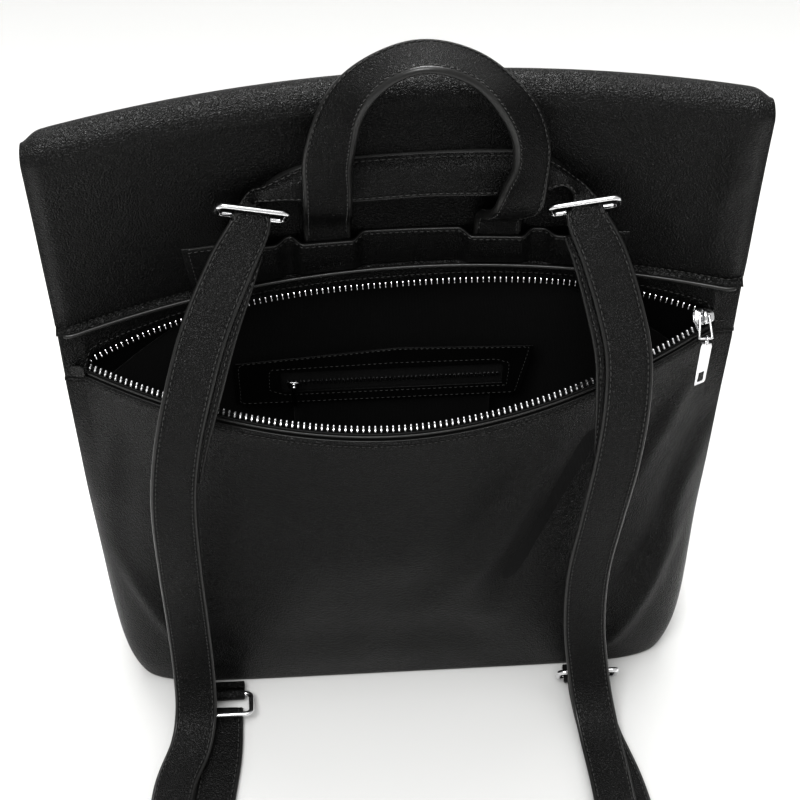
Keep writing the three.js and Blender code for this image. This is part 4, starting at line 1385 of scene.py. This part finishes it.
right_down = [
    (91, 7.45, 329.8, -0.988, 0, -0.156, 0.7), (91.2, 3.2, 326.2, -0.988, 0, -0.156, 0.85),
    (99, -7, 312, -1, 0, 0.1, 0.97), (107, -20, 289, -1, 0, 0.1, 1), (112, -34, 267, -1, 0, 0, 1),
    (112, -46, 240, -1, 0.1, 0, 1), (109, -54.5, 205, -1, 0.1, 0, 1), (104, -60, 165, -1, 0, 0, 1),
    (100, -63, 120, -1, 0, 0, 1), (101, -66, 75, -1, 0, 0, 1), (105, -72, 38, -1, 0, 0, 1),
    (108, -82, 18, -1, 0, 0, 1), (111, -102, 8, -1, 0, 0, 1), (114, -138, 7.6, -1, 0, 0, 1),
    (115, -190, 9.8, -1, 0, 0, 1), (116, -245, 11.4, -1, 0, 0, 1), (119, -288, 17, -1, 0, 0, 1),
    (122, -303, 13, -1, 0, 0, 1), (125, -293, 4, -1, 0, 0, 1), (128, -270, 3.7, -1, 0, 0, 1),
    (128, -190, 3.7, -1, 0, 0, 1), (122, -135, 3.2, -1, -0.1, 0, 1), (112, -98, 5, -1, -0.1, 0, 1),
    (108.4, -74, 9.4, -1, 0, 0, 1), (108, -60, 14.4, -1, 0, 0, 1)]
strap_line = spline(left_up + over + right_down, 1300)
middle = (strap_line[:, 2] > 336) & (np.abs(strap_line[:, 0] - 9) < 72)
curl = 7.0 * np.convolve(middle.astype(float), np.ones(15) / 15, "same")
strap_skin = strap("strap_skin", strap_line, STRAP_WIDE, STRAP_THICK,
                   [strap_leather, edge_coat_with_painted_highlight], cup=curl)
place(strap_skin, "bag", "leather", "strap_left", "strap_arch", "strap_right")
strap_sewing = strap_stitches("strap_stitches", strap_line, STRAP_WIDE, STRAP_THICK, curl, 3.3)
place(strap_sewing, "bag", "leather")


def fold_band(name, line, start, end):
    """Narrow second layer along one edge of the strap, where it is folded lengthwise below a ring.
    It tapers to nothing at both ends."""
    part = line[start:end]
    _, side, normal = path_frame(part)
    share = np.sin(np.pi * np.linspace(0.12, 0.97, len(part))) ** 0.5
    moved_line = part.copy()
    moved_line[:, :3] += side * (9.6 + 3.4 * share[:, None]) - normal * 2.0
    moved_line[:, 6] = share
    place(strap(name, moved_line, 8, 2.2, [strap_leather, edge_coat_with_painted_highlight]), "bag", "leather")
    row = moved_line[6:-6, :3] + (side * 1.2 + normal * 1.15)[6:-6]
    sewing = stitch_row(name + "_stitches", row, normal[6:-6], thread, 3.3, 2.3, 0.3)
    place(sewing, "bag", "leather")


height = strap_line[:, 2]
hanging = (strap_line[:, 1] > -60) & (height > 205) & (height < 324)
for side_name, outwards in (("left", -1), ("right", 1)):
    part = np.flatnonzero((strap_line[:, 0] * outwards > 60) & hanging)
    fold_band(f"strap_fold_{side_name}", strap_line, part[0], part[-1])
print("strap length:", path_length(strap_line).round(), "mm")

# %% [markdown]
# The adjusters are flat metal tunnels round the strap. The snap under the flap is a socket on the
# front panel and a stud on the flap.

# %% Adjusters and snap
SNAP_Z = 216.0
for side_name, at, turned_by in (("left", (-124.1, -230, 3.7), -4.4),
                                 ("right", (128, -230, 3.7), 0.0)):
    tunnel = hole_plate(rounded(33, 7.2, 2.2), rounded(27, 4.4, 1.0), 16, 0.8)
    tunnel = moved(tunnel, turn_z(turned_by) @ turn_x(90), at)
    place(solid(f"buckle_{side_name}", [tunnel], nickel), f"buckle_{side_name}", "nickel",
          f"adjuster_{side_name}")
snap_front = side_y(SNAP_Z) + front_depth(SNAP_Z) + 0.4
socket = [(0.2, 0.0), (7, 0.0), (7, 0.7), (6.4, 1.2), (4, 1.2), (3.4, 0.7), (0.2, 0.7)]
stud = [(0.2, 0.0), (5.4, 0.0), (6, 0.3), (6, 0.8), (0.2, 0.8)]
for part_name, profile, out, body in (("socket", socket, 0.4, "bag"), ("stud", stud, 2.0, "flap")):
    disc = moved(turned(np.array(profile)), turn_x(-90), (0, snap_front + out, SNAP_Z))
    place(solid(f"snap_{part_name}_metal", [disc], nickel), body, "nickel", f"snap_{part_name}")
print("adjusters and snap fitted")
